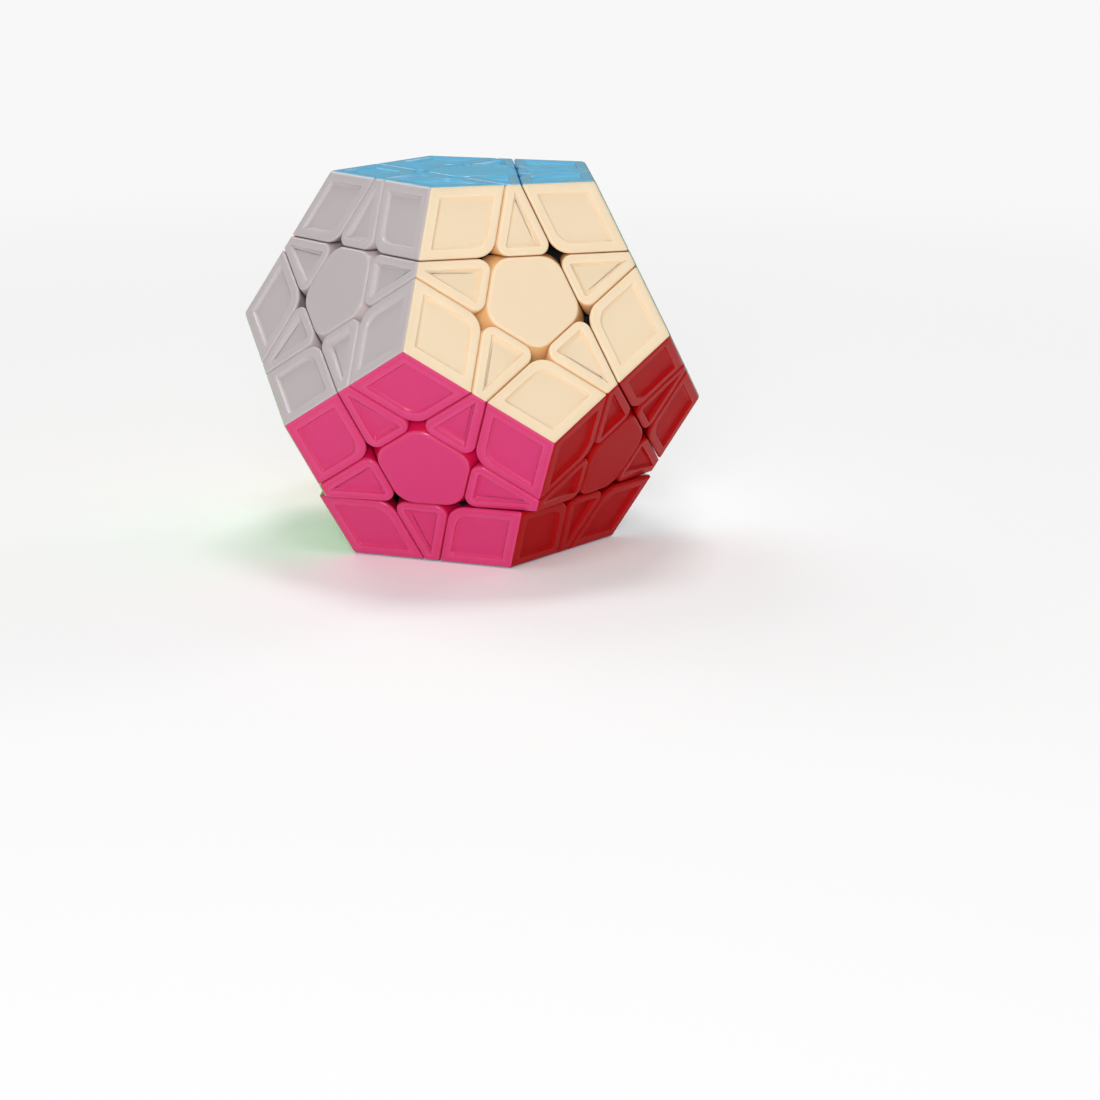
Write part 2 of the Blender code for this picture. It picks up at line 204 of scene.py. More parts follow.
def corner_triples() -> list[tuple[Face, ...]]:
    """Give each three faces that share a corner, in the frame's own order.

    Returns:
        The faces of each corner, anticlockwise seen from outside.
    """
    triples = []
    for first, second in edge_pairs():
        for third in FACES[FACES.index(second) + 1:]:
            if are_neighbours(first, third) and are_neighbours(second, third):
                side = AXES[first].cross(AXES[second]).dot(AXES[third])
                triples.append((first, second, third) if side > 0.0 else (first, third, second))
    return triples


def pair_frame(first: Face, second: Face) -> Matrix:
    """Give the rotation that carries X to the middle between two axes and Y across them.

    Args:
        first: The face that Y points toward.
        second: The face that Y points away from.

    Returns:
        The 3x3 rotation.
    """
    middle = (AXES[first] + AXES[second]).normalized()
    across = (AXES[first] - AXES[second]).normalized()
    return Matrix((middle, across, middle.cross(across))).transposed()


# The masters are made at these faces
TOP, FRONT, RIGHT = Face.LIGHT_BLUE, Face.BEIGE, Face.DARK_GREEN


def facing(axis: Vector) -> Matrix:
    """Give the turn that points Z along an axis."""
    return axis.to_track_quat("Z", "Y").to_matrix().to_4x4()


def placing(faces: Sequence[Face]) -> Matrix:
    """Give the placing of a piece that was made at the master faces.

    Args:
        faces: The piece's faces. A centre has one, an edge two and a corner three.

    Returns:
        The 4x4 matrix from the master's place to the piece's place at rest.
    """
    second = faces[1] if len(faces) > 1 else neighbours_of(faces[0])[0]
    turn = pair_frame(faces[0], second) @ pair_frame(TOP, FRONT).transposed()
    if Face.DARK_BLUE in faces:
        turn = Matrix.Rotation(BOTTOM_TURN, 3, "Z") @ turn
    return Matrix.Translation(MIDDLE) @ turn.to_4x4()


# ---------------------------------------------------------------- finishes


NOISE_MIDDLE = (0.3, 0.7)             # where nearly all of a noise's values lie
NOISE_ROUGHNESS = 0.55


class NodeBench:
    """Short way to wire a material's nodes."""

    def __init__(self, name: str) -> None:
        """Start a material with one Principled shader.

        Args:
            name: The material's name.
        """
        self.material = bpy.data.materials.new(name)
        self.material.use_nodes = True
        self.tree = self.material.node_tree
        self.shader = self.tree.nodes["Principled BSDF"]

    def add(self, kind: str, **values: object) -> bpy.types.Node:
        """Add a node.

        Args:
            kind: The node's type name without its ShaderNode part.
            values: Attributes of the node, or inputs by name with _ for each blank.

        Returns:
            The node.
        """
        node = self.tree.nodes.new("ShaderNode" + kind)
        for key, value in values.items():
            if hasattr(node, key):
                setattr(node, key, value)
            else:
                node.inputs[key.replace("_", " ")].default_value = value
        return node

    def wire(self, source: bpy.types.NodeSocket, target: bpy.types.NodeSocket) -> None:
        """Link two sockets."""
        self.tree.links.new(source, target)

    def noise(self, scale: float, detail: float = 3.0) -> bpy.types.NodeSocket:
        """Give a noise value in object space, with the scale in cells per metre.

        Args:
            scale: Cells per metre.
            detail: How many finer noises are added.

        Returns:
            The noise value's socket.
        """
        place = self.add("TexCoord")
        texture = self.add("TexNoise", Scale=scale, Detail=detail, Roughness=NOISE_ROUGHNESS)
        self.wire(place.outputs["Object"], texture.inputs["Vector"])
        return texture.outputs["Fac"]

    def spread(self, value: bpy.types.NodeSocket, low: float, high: float) -> bpy.types.NodeSocket:
        """Map a noise value's middle range to the range from low to high.

        Args:
            value: The noise value.
            low: What the middle range's low end becomes.
            high: What its high end becomes.

        Returns:
            The mapped value's socket.
        """
        node = self.add("MapRange", From_Min=NOISE_MIDDLE[0], From_Max=NOISE_MIDDLE[1], To_Min=low, To_Max=high)
        self.wire(value, node.inputs["Value"])
        return node.outputs["Result"]

    def combine(self, operation: str, first: bpy.types.NodeSocket,
                second: bpy.types.NodeSocket | float) -> bpy.types.NodeSocket:
        """Give a Math node's result.

        Args:
            operation: The Math node's operation.
            first: The first value.
            second: The second value, as a socket or a constant.

        Returns:
            The result's socket.
        """
        node = self.add("Math", operation=operation)
        self.wire(first, node.inputs[0])
        if isinstance(second, float):
            node.inputs[1].default_value = second
        else:
            self.wire(second, node.inputs[1])
        return node.outputs["Value"]

    def fade(self, share: bpy.types.NodeSocket, first: bpy.types.NodeSocket,
             second: bpy.types.NodeSocket) -> bpy.types.NodeSocket:
        """Mix two values by a share.

        Args:
            share: 0 for the first value and 1 for the second.
            first: The first value.
            second: The second value.

        Returns:
            The mixed value's socket.
        """
        node = self.add("Mix", data_type="FLOAT")
        self.wire(share, node.inputs["Factor"])
        self.wire(first, node.inputs[2])
        self.wire(second, node.inputs[3])
        return node.outputs[0]

    def blend(self, share: bpy.types.NodeSocket, first: Sequence[float] | bpy.types.NodeSocket,
              second: Sequence[float]) -> bpy.types.NodeSocket:
        """Mix two colours by a share.

        Args:
            share: 0 for the first colour and 1 for the second.
            first: The first colour, or its socket.
            second: The second colour.

        Returns:
            The mixed colour's socket.
        """
        node = self.add("Mix", data_type="RGBA")
        self.wire(share, node.inputs["Factor"])
        if isinstance(first, bpy.types.NodeSocket):
            self.wire(first, node.inputs[6])
        else:
            node.inputs[6].default_value = (*first, 1.0)
        node.inputs[7].default_value = (*second, 1.0)
        return node.outputs[2]

    def bump(self, height: bpy.types.NodeSocket, depth: float,
             under: bpy.types.NodeSocket | None = None) -> bpy.types.NodeSocket:
        """Turn a height into a normal, with its depth in metres.

        Args:
            height: The height's socket.
            depth: What a height of 1 stands for, in metres.
            under: A normal that this one is laid over.

        Returns:
            The normal's socket.
        """
        node = self.add("Bump", Strength=1.0, Distance=depth)
        self.wire(height, node.inputs["Height"])
        if under is not None:
            self.wire(under, node.inputs["Normal"])
        return node.outputs["Normal"]


WEAR_AND_HIGHLIGHT = "rim_wear_and_highlight"                     # vertex attribute, 1 on a shell's rims: where fingers rub them, and where they are painted paler as a highlight
PAINTED_SHADE_NAME = "painted_crevice_shade"                 # vertex attribute of painted crevice shade, 1 on the walls between shells: the colour painted darker and more saturated where light would soak in and bounce
GRAIN = "fine_grain"                  # vertex attribute, 1 on the grained panels and 0 on the smooth rims
PLASTIC_IOR = 1.53


@dataclass(frozen=True)
class SatinShell:
    """Coloured moulded plastic: grained panels, smoother rims, and slightly paler edges, partly worn and partly
    painted highlight.
    """

    name: str
    colour: tuple[float, float, float]
    glow: float = 0.16                # share of light that wanders inside the plastic
    glow_reach: float = 1.4 * MM
    painted_shade_power: float = 1.6           # how much darker and more saturated the painted crevice shade is
    sheen_level: float = 0.24         # specular level of the satin skin
    rim_roughness: tuple[float, float] = (0.20, 0.24)
    panel_roughness: tuple[float, float] = (0.42, 0.52)
    rim_polish: float = 0.05
    grain_scale: float = 3200.0       # cells per metre of the panels' grain
    grain_depth: float = 0.010 * MM
    flow_scale: float = 95.0          # cells per metre of the slow waves left by the mould
    flow_depth: float = 0.012 * MM
    shade: float = 0.945              # darkest share of the colour's slow variation
    panel_shade: float = 0.955        # how much darker the grain makes the panels
    rubbed_and_highlight_share: float = 0.085       # how much paler the rims are: partly worn, partly painted highlight
    rubbed_highlight_scale: float = 140.0       # cells per metre of the patches of paler rim: worn by fingers, and painted highlight
    rubbed_highlight_range: tuple[float, float] = (0.55, 1.0)
    rim_scale: float = 900.0          # cells per metre of the rims' changes of gloss
    panel_scale: float = 1300.0
    rim_grain: float = 0.08           # share of the grain's depth that the rims have
    scatter: tuple[float, float, float] = (0.06, 0.94, 1.6)   # least reach, its span and its power by colour

    def material(self) -> bpy.types.Material:
        """Build the material.

        Returns:
            The material.
        """
        bench = NodeBench(self.name)
        shader = bench.shader
        wear_and_highlight = bench.add("Attribute", attribute_name=WEAR_AND_HIGHLIGHT).outputs["Fac"]
        grain = bench.add("Attribute", attribute_name=GRAIN).outputs["Fac"]
        slow = bench.spread(bench.noise(self.flow_scale), 0.0, 1.0)
        body = bench.blend(slow, self.colour, self.scaled(self.shade))
        body = bench.blend(grain, body, self.scaled(self.panel_shade))
        # Paler rims: partly worn by fingers, partly painted highlight where the roundings catch the light.
        paler = tuple(part + (1.0 - part) * self.rubbed_and_highlight_share for part in self.colour)
        rubbed_highlight = bench.combine("MULTIPLY", wear_and_highlight,
                               bench.spread(bench.noise(self.rubbed_highlight_scale, 1.0), *self.rubbed_highlight_range))
        body = bench.blend(rubbed_highlight, body, paler)
        # Painted crevice shade: darker, more saturated colour on the walls between shells and down the panels' walls.
        painted_shade = bench.add("Attribute", attribute_name=PAINTED_SHADE_NAME).outputs["Fac"]
        bench.wire(bench.blend(painted_shade, body, self.painted_shade_colour()), shader.inputs["Base Color"])
        smooth = bench.spread(bench.noise(self.rim_scale, 5.0), *self.rim_roughness)
        rough = bench.spread(bench.noise(self.panel_scale, 4.0), *self.panel_roughness)
        polished = bench.combine("SUBTRACT", smooth, bench.combine("MULTIPLY", wear_and_highlight, self.rim_polish))
        bench.wire(bench.fade(grain, polished, rough), shader.inputs["Roughness"])
        flow = bench.bump(bench.noise(self.flow_scale * 1.7, 1.0), self.flow_depth)
        depth = bench.combine("ADD", bench.combine("MULTIPLY", grain, 1.0 - self.rim_grain), self.rim_grain)
        specks = bench.combine("MULTIPLY", bench.noise(self.grain_scale, 2.0), depth)
        bench.wire(bench.bump(specks, self.grain_depth, flow), shader.inputs["Normal"])
        shader.inputs["IOR"].default_value = PLASTIC_IOR
        shader.inputs["Specular IOR Level"].default_value = self.sheen_level
        shader.inputs["Subsurface Weight"].default_value = self.glow
        shader.inputs["Subsurface Scale"].default_value = self.glow_reach
        least, span, power = self.scatter
        shader.inputs["Subsurface Radius"].default_value = tuple(least + span * part ** power for part in self.colour)
        return bench.material

    def painted_shade_colour(self) -> tuple[float, ...]:
        """Give the painted crevice shade: the colour darker and more saturated, like light that has bounced in the
        gaps.
        """
        most = max(self.colour)
        return tuple(most * (part / most) ** self.painted_shade_power for part in self.colour)

    def scaled(self, share: float) -> tuple[float, ...]:
        """Give the colour, darkened."""
        return tuple(part * share for part in self.colour)


@dataclass(frozen=True)
class DarkNylon:
    """Matt dark plastic of the inner pieces, with sliding marks and a trace of dust."""

    name: str
    colour: tuple[float, float, float] = (0.018, 0.018, 0.020)
    dust: tuple[float, float, float] = (0.075, 0.073, 0.070)
    roughness: tuple[float, float] = (0.42, 0.62)
    mark_scale: float = 260.0         # cells per metre of the sliding marks
    most_dust: float = 0.45
    gloss_scale: float = 800.0
    grain_scale: float = 3000.0
    grain_depth: float = 0.006 * MM

    def material(self) -> bpy.types.Material:
        """Build the material.

        Returns:
            The material.
        """
        bench = NodeBench(self.name)
        marks = bench.spread(bench.noise(self.mark_scale, 6.0), 0.0, self.most_dust)
        gloss = bench.spread(bench.noise(self.gloss_scale, 4.0), *self.roughness)
        grain = bench.bump(bench.noise(self.grain_scale, 2.0), self.grain_depth)
        bench.wire(bench.blend(marks, self.colour, self.dust), bench.shader.inputs["Base Color"])
        bench.wire(gloss, bench.shader.inputs["Roughness"])
        bench.wire(grain, bench.shader.inputs["Normal"])
        return bench.material


@dataclass(frozen=True)
class PlatedSteel:
    """Bright plated steel with fine turning marks."""

    name: str
    colour: tuple[float, float, float] = (0.62, 0.62, 0.64)
    tarnish: tuple[float, float, float] = (0.40, 0.38, 0.36)
    roughness: tuple[float, float] = (0.18, 0.36)
    stain_scale: float = 500.0        # cells per metre of the tarnish
    most_stain: float = 0.6
    gloss_scale: float = 1500.0
    mark_scale: float = 5000.0
    mark_depth: float = 0.003 * MM

    def material(self) -> bpy.types.Material:
        """Build the material.

        Returns:
            The material.
        """
        bench = NodeBench(self.name)
        bench.shader.inputs["Metallic"].default_value = 1.0
        stain = bench.spread(bench.noise(self.stain_scale, 5.0), 0.0, self.most_stain)
        gloss = bench.spread(bench.noise(self.gloss_scale), *self.roughness)
        marks = bench.bump(bench.noise(self.mark_scale, 1.0), self.mark_depth)
        bench.wire(bench.blend(stain, self.colour, self.tarnish), bench.shader.inputs["Base Color"])
        bench.wire(gloss, bench.shader.inputs["Roughness"])
        bench.wire(marks, bench.shader.inputs["Normal"])
        return bench.material


SHELL_FINISHES = {
    Face.LIGHT_BLUE: SatinShell("light_blue_plastic", (0.130, 0.490, 0.715), sheen_level=0.34),
    Face.BEIGE: SatinShell("beige_plastic", (0.890, 0.712, 0.500), glow=0.28, glow_reach=2.2 * MM,
                           painted_shade_power=2.3),
    Face.GREY: SatinShell("grey_plastic", (0.545, 0.492, 0.495)),
    Face.ORANGE: SatinShell("orange_plastic", (0.900, 0.190, 0.020)),
    Face.PURPLE: SatinShell("purple_plastic", (0.150, 0.040, 0.330), rubbed_and_highlight_share=0.040),
    Face.DARK_GREEN: SatinShell("dark_green_plastic", (0.015, 0.170, 0.050), rubbed_and_highlight_share=0.030),
    Face.PINK: SatinShell("pink_plastic", (0.665, 0.032, 0.172), sheen_level=0.36, rubbed_and_highlight_share=0.060),
    Face.LIME: SatinShell("lime_plastic", (0.180, 0.680, 0.060)),
    Face.YELLOW: SatinShell("yellow_plastic", (0.860, 0.720, 0.020)),
    Face.WHITE: SatinShell("white_plastic", (0.800, 0.800, 0.800)),
    Face.RED: SatinShell("red_plastic", (0.400, 0.003, 0.004), sheen_level=0.04, rubbed_and_highlight_share=0.010),
    Face.DARK_BLUE: SatinShell("dark_blue_plastic", (0.012, 0.030, 0.230), rubbed_and_highlight_share=0.030),
}
DARK_FINISH = DarkNylon("dark_nylon")
STEEL_FINISH = PlatedSteel("plated_steel")


# ---------------------------------------------------------------- shell outlines

PANEL_WEAR_AND_HIGHLIGHT = 0.45                     # worn share, and painted highlight, at the top edge of a panel's wall
WALL_POWER = 2.2                      # how much steeper a panel's wall is at its top than on average
WALL_PAINTED_SHADE = 0.22                      # painted shade: how dark and saturated the colour gets halfway down a panel's wall
EASE = 0.10 * MM                      # flat strip that keeps a rounding's shading off the next flat
SHARP_CORNER = 0.34 * MM              # rounding of a shell's upright corners at the cuts
TRUE_CORNER = 0.05 * MM               # rounding of the upright below a corner of the dodecahedron
LEAST_CORNER = 0.15 * MM
RIM_PAINTED_SHADE = 0.35                       # painted shade: how dark and saturated the colour gets at the foot of a rim, toward the gap
FACE_GLOW = 0.03                      # how far round a rim's ball its first ring already is

class Border(Enum):
    """What a shell's side meets."""

    SHARED_EDGE = "shared_edge"       # the next shell of the same piece, at the dodecahedron's edge
    OWN_CUT = "own_cut"               # the cut below the piece's own layer
    OTHER_CUT = "other_cut"           # the cut of a layer that the piece isn't in


@dataclass(frozen=True)
class Side:
    """One side of a shell, seen in the plane of its face.

    The side's line lies at a distance from the face's middle, and moves outward by slope for each unit of depth.
    Its rounding starts on the face and turns through an angle.
    """

    angle: float                      # bearing of the outward direction in the face's plane
    distance: float
    slope: float
    tangent: float                    # turn from the face's normal to the wall's normal
    turn: float                       # how much of that turn this shell takes
    radius: float                     # radius of the rounded rim
    shared: bool = False              # whether it meets another shell of the same piece

    def rim(self, share: float) -> tuple[float, float]:
        """Give the rim's outward offset and height at a share of its turn.

        Args:
            share: 0 on the face and 1 on the wall.

        Returns:
            The offset and the height.
        """
        angle = self.turn * share
        out = self.radius * (math.sin(angle) - math.tan(self.tangent / 2.0))
        return out, self.radius * (math.cos(angle) - 1.0)


def make_side(border: Border, bearing: float, radius: float) -> Side:
    """Make a shell's side.

    Args:
        border: What the side meets.
        bearing: Angle, in the face's plane, of the direction to the neighbouring face that the side is parallel to.
        radius: Radius of the rounded rim.

    Returns:
        The side.
    """
    if border is Border.SHARED_EDGE:
        half = FACE_TURN / 2.0
        reach = INRADIUS * math.tan(half) - JOIN
        return Side(bearing, reach, -math.tan(half), FACE_TURN, half, radius, True)
    if border is Border.OTHER_CUT:
        reach = (CUT - SHELL_GAP / 2.0 - INRADIUS * FACE_COS) / FACE_SIN
        return Side(bearing, reach, FACE_COS / FACE_SIN, FACE_TURN, FACE_TURN, radius)
    reach = (CUT + SHELL_GAP / 2.0 - INRADIUS * FACE_COS) / FACE_SIN
    return Side(bearing + math.pi, -reach, -FACE_COS / FACE_SIN, math.pi - FACE_TURN, math.pi - FACE_TURN, radius)


@dataclass
class Ring:
    """One closed loop of a shell: an offset and a height for each side, and a rounding for each corner."""

    offsets: list[float]
    heights: list[float]
    roundings: list[float]
    # share of rim rubbing, which also paints the rim paler as a highlight
    wear_and_highlight: float = 0.0
    grain: float = 0.0
    # share of painted crevice shade
    painted_shade: float = 0.0
    ball_share: float | None = None   # on the rim, how far round its ball a dodecahedron corner is
    ramp: tuple[float, float, float, float] | None = None   # two places along side 0's bearing, and their heights


@dataclass
class ShellShape:
    """Coloured shell: rings lofted from its inner top, down its skirt and up over the rim to its panel."""

    sides: list[Side]
    roundings: list[float]            # rounding of the upright corner after each side
    steps: list[int]                  # facets of each corner
    rim_steps: int = 6
    rim_margin: float = 0.15 * MM     # from the deepest rim rounding to the last ring of the plain wall
    rings: list[Ring] = field(default_factory=list)

    def skirt(self) -> None:
        """Add the inside of the shell and its side walls, from the plate's inner face to the rim."""
        inside = [WALL / math.sin(side.tangent) + FIT for side in self.sides]
        for depth in (PLATE, SKIRT):
            self.walls(depth, [-value for value in inside])
        self.walls(SKIRT, [0.0] * len(self.sides))
        self.walls(self.rim_depth() + self.rim_margin, [0.0] * len(self.sides))

    def rim_depth(self) -> float:
        """Give the depth at which the deepest rim rounding meets its wall."""
        return max(-side.rim(1.0)[1] for side in self.sides)

    def walls(self, depth: float, extra: Sequence[float]) -> None:
        """Add a ring on the side walls at a depth, moved outward by extra on each side."""
        offsets = [side.slope * depth + more for side, more in zip(self.sides, extra)]
        self.add(offsets, [-depth] * len(self.sides))

    def add(self, offsets: list[float], heights: list[float], wear_and_highlight: float = 0.0,
            ball_share: float | None = None) -> None:
        """Add a ring, with corner roundings that follow its offsets.

        Args:
            offsets: Outward offset of each side's line.
            heights: Height of the ring at each side.
            wear_and_highlight: How worn the ring is; the same share paints its rims paler as a highlight.
            ball_share: On the rim, how far round a corner of the dodecahedron the ring is.
        """
        count = len(self.sides)
        roundings = []
        for corner in range(count):
            sideways = (offsets[corner] + offsets[(corner + 1) % count]) / 2.0
            least = min(self.roundings[corner], LEAST_CORNER)
            roundings.append(max(self.roundings[corner] + min(sideways, 0.0), least))
        # Painted crevice shade: full on the walls between shells, fading up the rim toward the face.
        painted_shade = 1.0 if ball_share is None else RIM_PAINTED_SHADE * ball_share
        self.rings.append(Ring(offsets, heights, roundings, wear_and_highlight, 0.0, painted_shade, ball_share))

    def rim(self) -> None:
        """Add the rounded rim, from the walls to the face."""
        for step in range(self.rim_steps, -1, -1):
            share = step / self.rim_steps
            points = [side.rim(share) for side in self.sides]
            self.add([out for out, _ in points], [height for _, height in points], share, max(share, FACE_GLOW))

    def flat(self, margin: float) -> None:
        """Add a ring on the flat of the face, a margin inside the rounded rim."""
        self.add([side.rim(0.0)[0] - margin for side in self.sides], [0.0] * len(self.sides))
        self.rings[-1].painted_shade = 0.0

    def mesh(self, name: str, face: Face) -> bpy.types.Mesh:
        """Loft the rings into a closed mesh round the puzzle's middle.

        Args:
            name: The mesh's name.
            face: The face that the shell lies on.

        Returns:
            The mesh, with the attributes of rim rubbing and painted highlight, of grain, and of painted crevice
            shade.
        """
        along = toward(face, neighbours_of(face)[0])
        across = AXES[face].cross(along)
        shape = bmesh.new()
        wear_and_highlight = shape.verts.layers.float.new(WEAR_AND_HIGHLIGHT)
        grain = shape.verts.layers.float.new(GRAIN)
        painted_shade = shape.verts.layers.float.new(PAINTED_SHADE_NAME)
        loops = []
        for ring in self.rings:
            loop = []
            for flat_x, flat_y, height in self.ring_points(ring):
                vert = shape.verts.new(along * flat_x + across * flat_y + AXES[face] * (INRADIUS + height))
                vert[wear_and_highlight] = ring.wear_and_highlight
                vert[grain] = ring.grain
                vert[painted_shade] = ring.painted_shade
                loop.append(vert)
            loops.append(loop)
        for low, high in zip(loops, loops[1:]):
            for index in range(len(low)):
                after = (index + 1) % len(low)
                shape.faces.new((low[index], low[after], high[after], high[index]))
        shape.faces.new(loops[-1])
        shape.faces.new(reversed(loops[0]))
        bmesh.ops.recalc_face_normals(shape, faces=shape.faces[:])
        mesh = bpy.data.meshes.new(name)
        shape.to_mesh(mesh)
        shape.free()
        return mesh

    def ring_points(self, ring: Ring) -> list[tuple[float, float, float]]:
        """Give a ring's points in the face's plane, with their heights.

        Args:
            ring: The ring.

        Returns:
            Points in the face's plane, with their heights.
        """
        points = []
        count = len(self.sides)
        for index in range(count):
            after = (index + 1) % count
            rounding = ring.roundings[index]
            start, end = self.sides[index].angle, self.sides[after].angle
            sweep = (end - start) % math.tau
            if ring.ball_share is not None and self.sides[index].shared and self.sides[after].shared:
                points += self.ball_points(index, after, ring.ball_share)
                continue
            centre = meeting(start, self.sides[index].distance + ring.offsets[index] - rounding,
                             end, self.sides[after].distance + ring.offsets[after] - rounding)
            for step in range(self.steps[index] + 1):
                share = step / self.steps[index]
                bearing = start + sweep * share
                height = ring.heights[index] * (1.0 - share) + ring.heights[after] * share
                flat_x = centre[0] + rounding * math.cos(bearing)
                flat_y = centre[1] + rounding * math.sin(bearing)
                if ring.ramp is not None:
                    height = self.ramp_height(ring.ramp, flat_x, flat_y)
                points.append((flat_x, flat_y, height))
        return points

    def ramp_height(self, ramp: tuple[float, float, float, float], flat_x: float, flat_y: float) -> float:
        """Give the height of a point on a ramp that falls along the first side's bearing.

        Args:
            ramp: The places of its tip and base, and their heights.
            flat_x: The point's first coordinate in the face's plane.
            flat_y: Its second coordinate.

        Returns:
            The point's height.
        """
        tip, base, tip_height, base_height = ramp
        place = flat_x * math.cos(self.sides[0].angle) + flat_y * math.sin(self.sides[0].angle)
        return tip_height + (base_height - tip_height) * (tip - place) / (tip - base)

    def ball_points(self, index: int, after: int, share: float) -> list[tuple[float, float, float]]:
        """Give the points of a rim ring round a corner of the dodecahedron, which is part of a ball.

        Args:
            index: The side before the corner.
            after: The side after it.
            share: How far the ring is from the face, at 0, to the neighbouring shells, at 1.

        Returns:
            Points in the face's plane, with their heights.
        """
        first, second = self.sides[index], self.sides[after]
        back = first.radius * math.tan(first.tangent / 2.0)
        centre = meeting(first.angle, first.distance - back, second.angle, second.distance - back)
        sweep = (second.angle - first.angle) % math.tau
        points = []
        for step in range(self.steps[index] + 1):
            part = step / self.steps[index]
            nearest = min(part, 1.0 - part) * sweep
            tilt = share * math.atan(math.tan(first.turn) / math.cos(nearest))
            bearing = first.angle + sweep * part
            out = first.radius * math.sin(tilt)
            points.append((centre[0] + out * math.cos(bearing), centre[1] + out * math.sin(bearing),
                           first.radius * (math.cos(tilt) - 1.0)))
        return points


def meeting(first: float, first_reach: float, second: float, second_reach: float) -> tuple[float, float]:
    """Give the point where two lines meet, each a bearing and a distance from the face's middle.

    Args:
        first: Bearing of the first line's outward direction.
        first_reach: The first line's distance.
        second: Bearing of the second line's outward direction.
        second_reach: The second line's distance.

    Returns:
        The point's two coordinates.
    """
    size = math.sin(second - first)
    flat_x = (first_reach * math.sin(second) - second_reach * math.sin(first)) / size
    flat_y = (second_reach * math.cos(first) - first_reach * math.cos(second)) / size
    return flat_x, flat_y


def wall_drop(share: float) -> float:
    """Give how far a panel's wall has fallen: steep under its crisp top edge, and rounded into the floor."""
    return 1.0 - (1.0 - share) ** WALL_POWER


def painted_wall_shade(share: float) -> float:
    """Give how much painted shade darkens and saturates a panel's wall, a share of the way down."""
    return WALL_PAINTED_SHADE * math.sin(math.pi * share)


@dataclass
class CornerShells:
    """The three shells of a corner piece: rhombic, with a shallow panel inside an even rim."""

    rim_width: float = 0.056 * INRADIUS
    inner_rounding: float = 0.130 * INRADIUS
    panel_rounding: float = 0.105 * INRADIUS
    rounding_loss: float = 0.6        # how much of the inset the panel's wide rounding loses
    sharp_rounding: tuple[float, float] = (0.34 * MM, 0.12 * MM)   # of the panel's other corners, top and floor
    slope_width: float = 0.70 * MM
    panel_depth: float = 0.62 * MM
    shared_rim: float = 1.18 * MM
    cut_rim: float = 0.46 * MM
    slope_steps: int = 8

    def build(self, face: Face, first: Face, second: Face) -> bpy.types.Mesh:
        """Build the shell on a face, at the corner that it shares with two others.

        Args:
            face: The shell's face.
            first: One of the corner's other faces.
            second: The other one.

        Returns:
            The shell's mesh.
        """
        around = neighbours_of(face)
        if around[(around.index(first) + 1) % 5] is not second:
            first, second = second, first
        angles = [around.index(other) * FIFTH for other in (first, second)]
        sides = [
            make_side(Border.SHARED_EDGE, angles[0], self.shared_rim),
            make_side(Border.SHARED_EDGE, angles[1], self.shared_rim),
            make_side(Border.OWN_CUT, angles[0], self.cut_rim),
            make_side(Border.OWN_CUT, angles[1], self.cut_rim),
        ]
        shell = ShellShape(sides, [TRUE_CORNER, SHARP_CORNER, self.inner_rounding, SHARP_CORNER], [8, 5, 14, 5])
        shell.skirt()
        shell.rim()
        shell.flat(EASE)
        self.panel_ring(shell, -EASE, 0.0, 0.0)
        for step in range(self.slope_steps + 1):
            share = step / self.slope_steps
            self.panel_ring(shell, self.slope_width * share, share, share)
        self.panel_ring(shell, self.slope_width + EASE, 1.0, 1.0)
        return shell.mesh("corner_shell", face)

    def panel_ring(self, shell: ShellShape, inset: float, share: float, grain: float) -> None:
        """Add a ring of the panel, an inset inside its outline and a share of the way down its slope.

        Args:
            shell: The shell.
            inset: How far the ring is inside the panel's outline.
            share: How far it is down the panel's slope.
            grain: How grained it is.
        """
        top, floor = self.sharp_rounding
        sharp = top + (floor - top) * share
        wide = self.panel_rounding - max(inset, 0.0) * self.rounding_loss
        height = -self.panel_depth * wall_drop(share)
        shell.rings.append(Ring([-self.rim_width - inset] * 4, [height] * 4, [sharp, sharp, wide, sharp],
                                PANEL_WEAR_AND_HIGHLIGHT * (1.0 - share), grain, painted_wall_shade(share)))


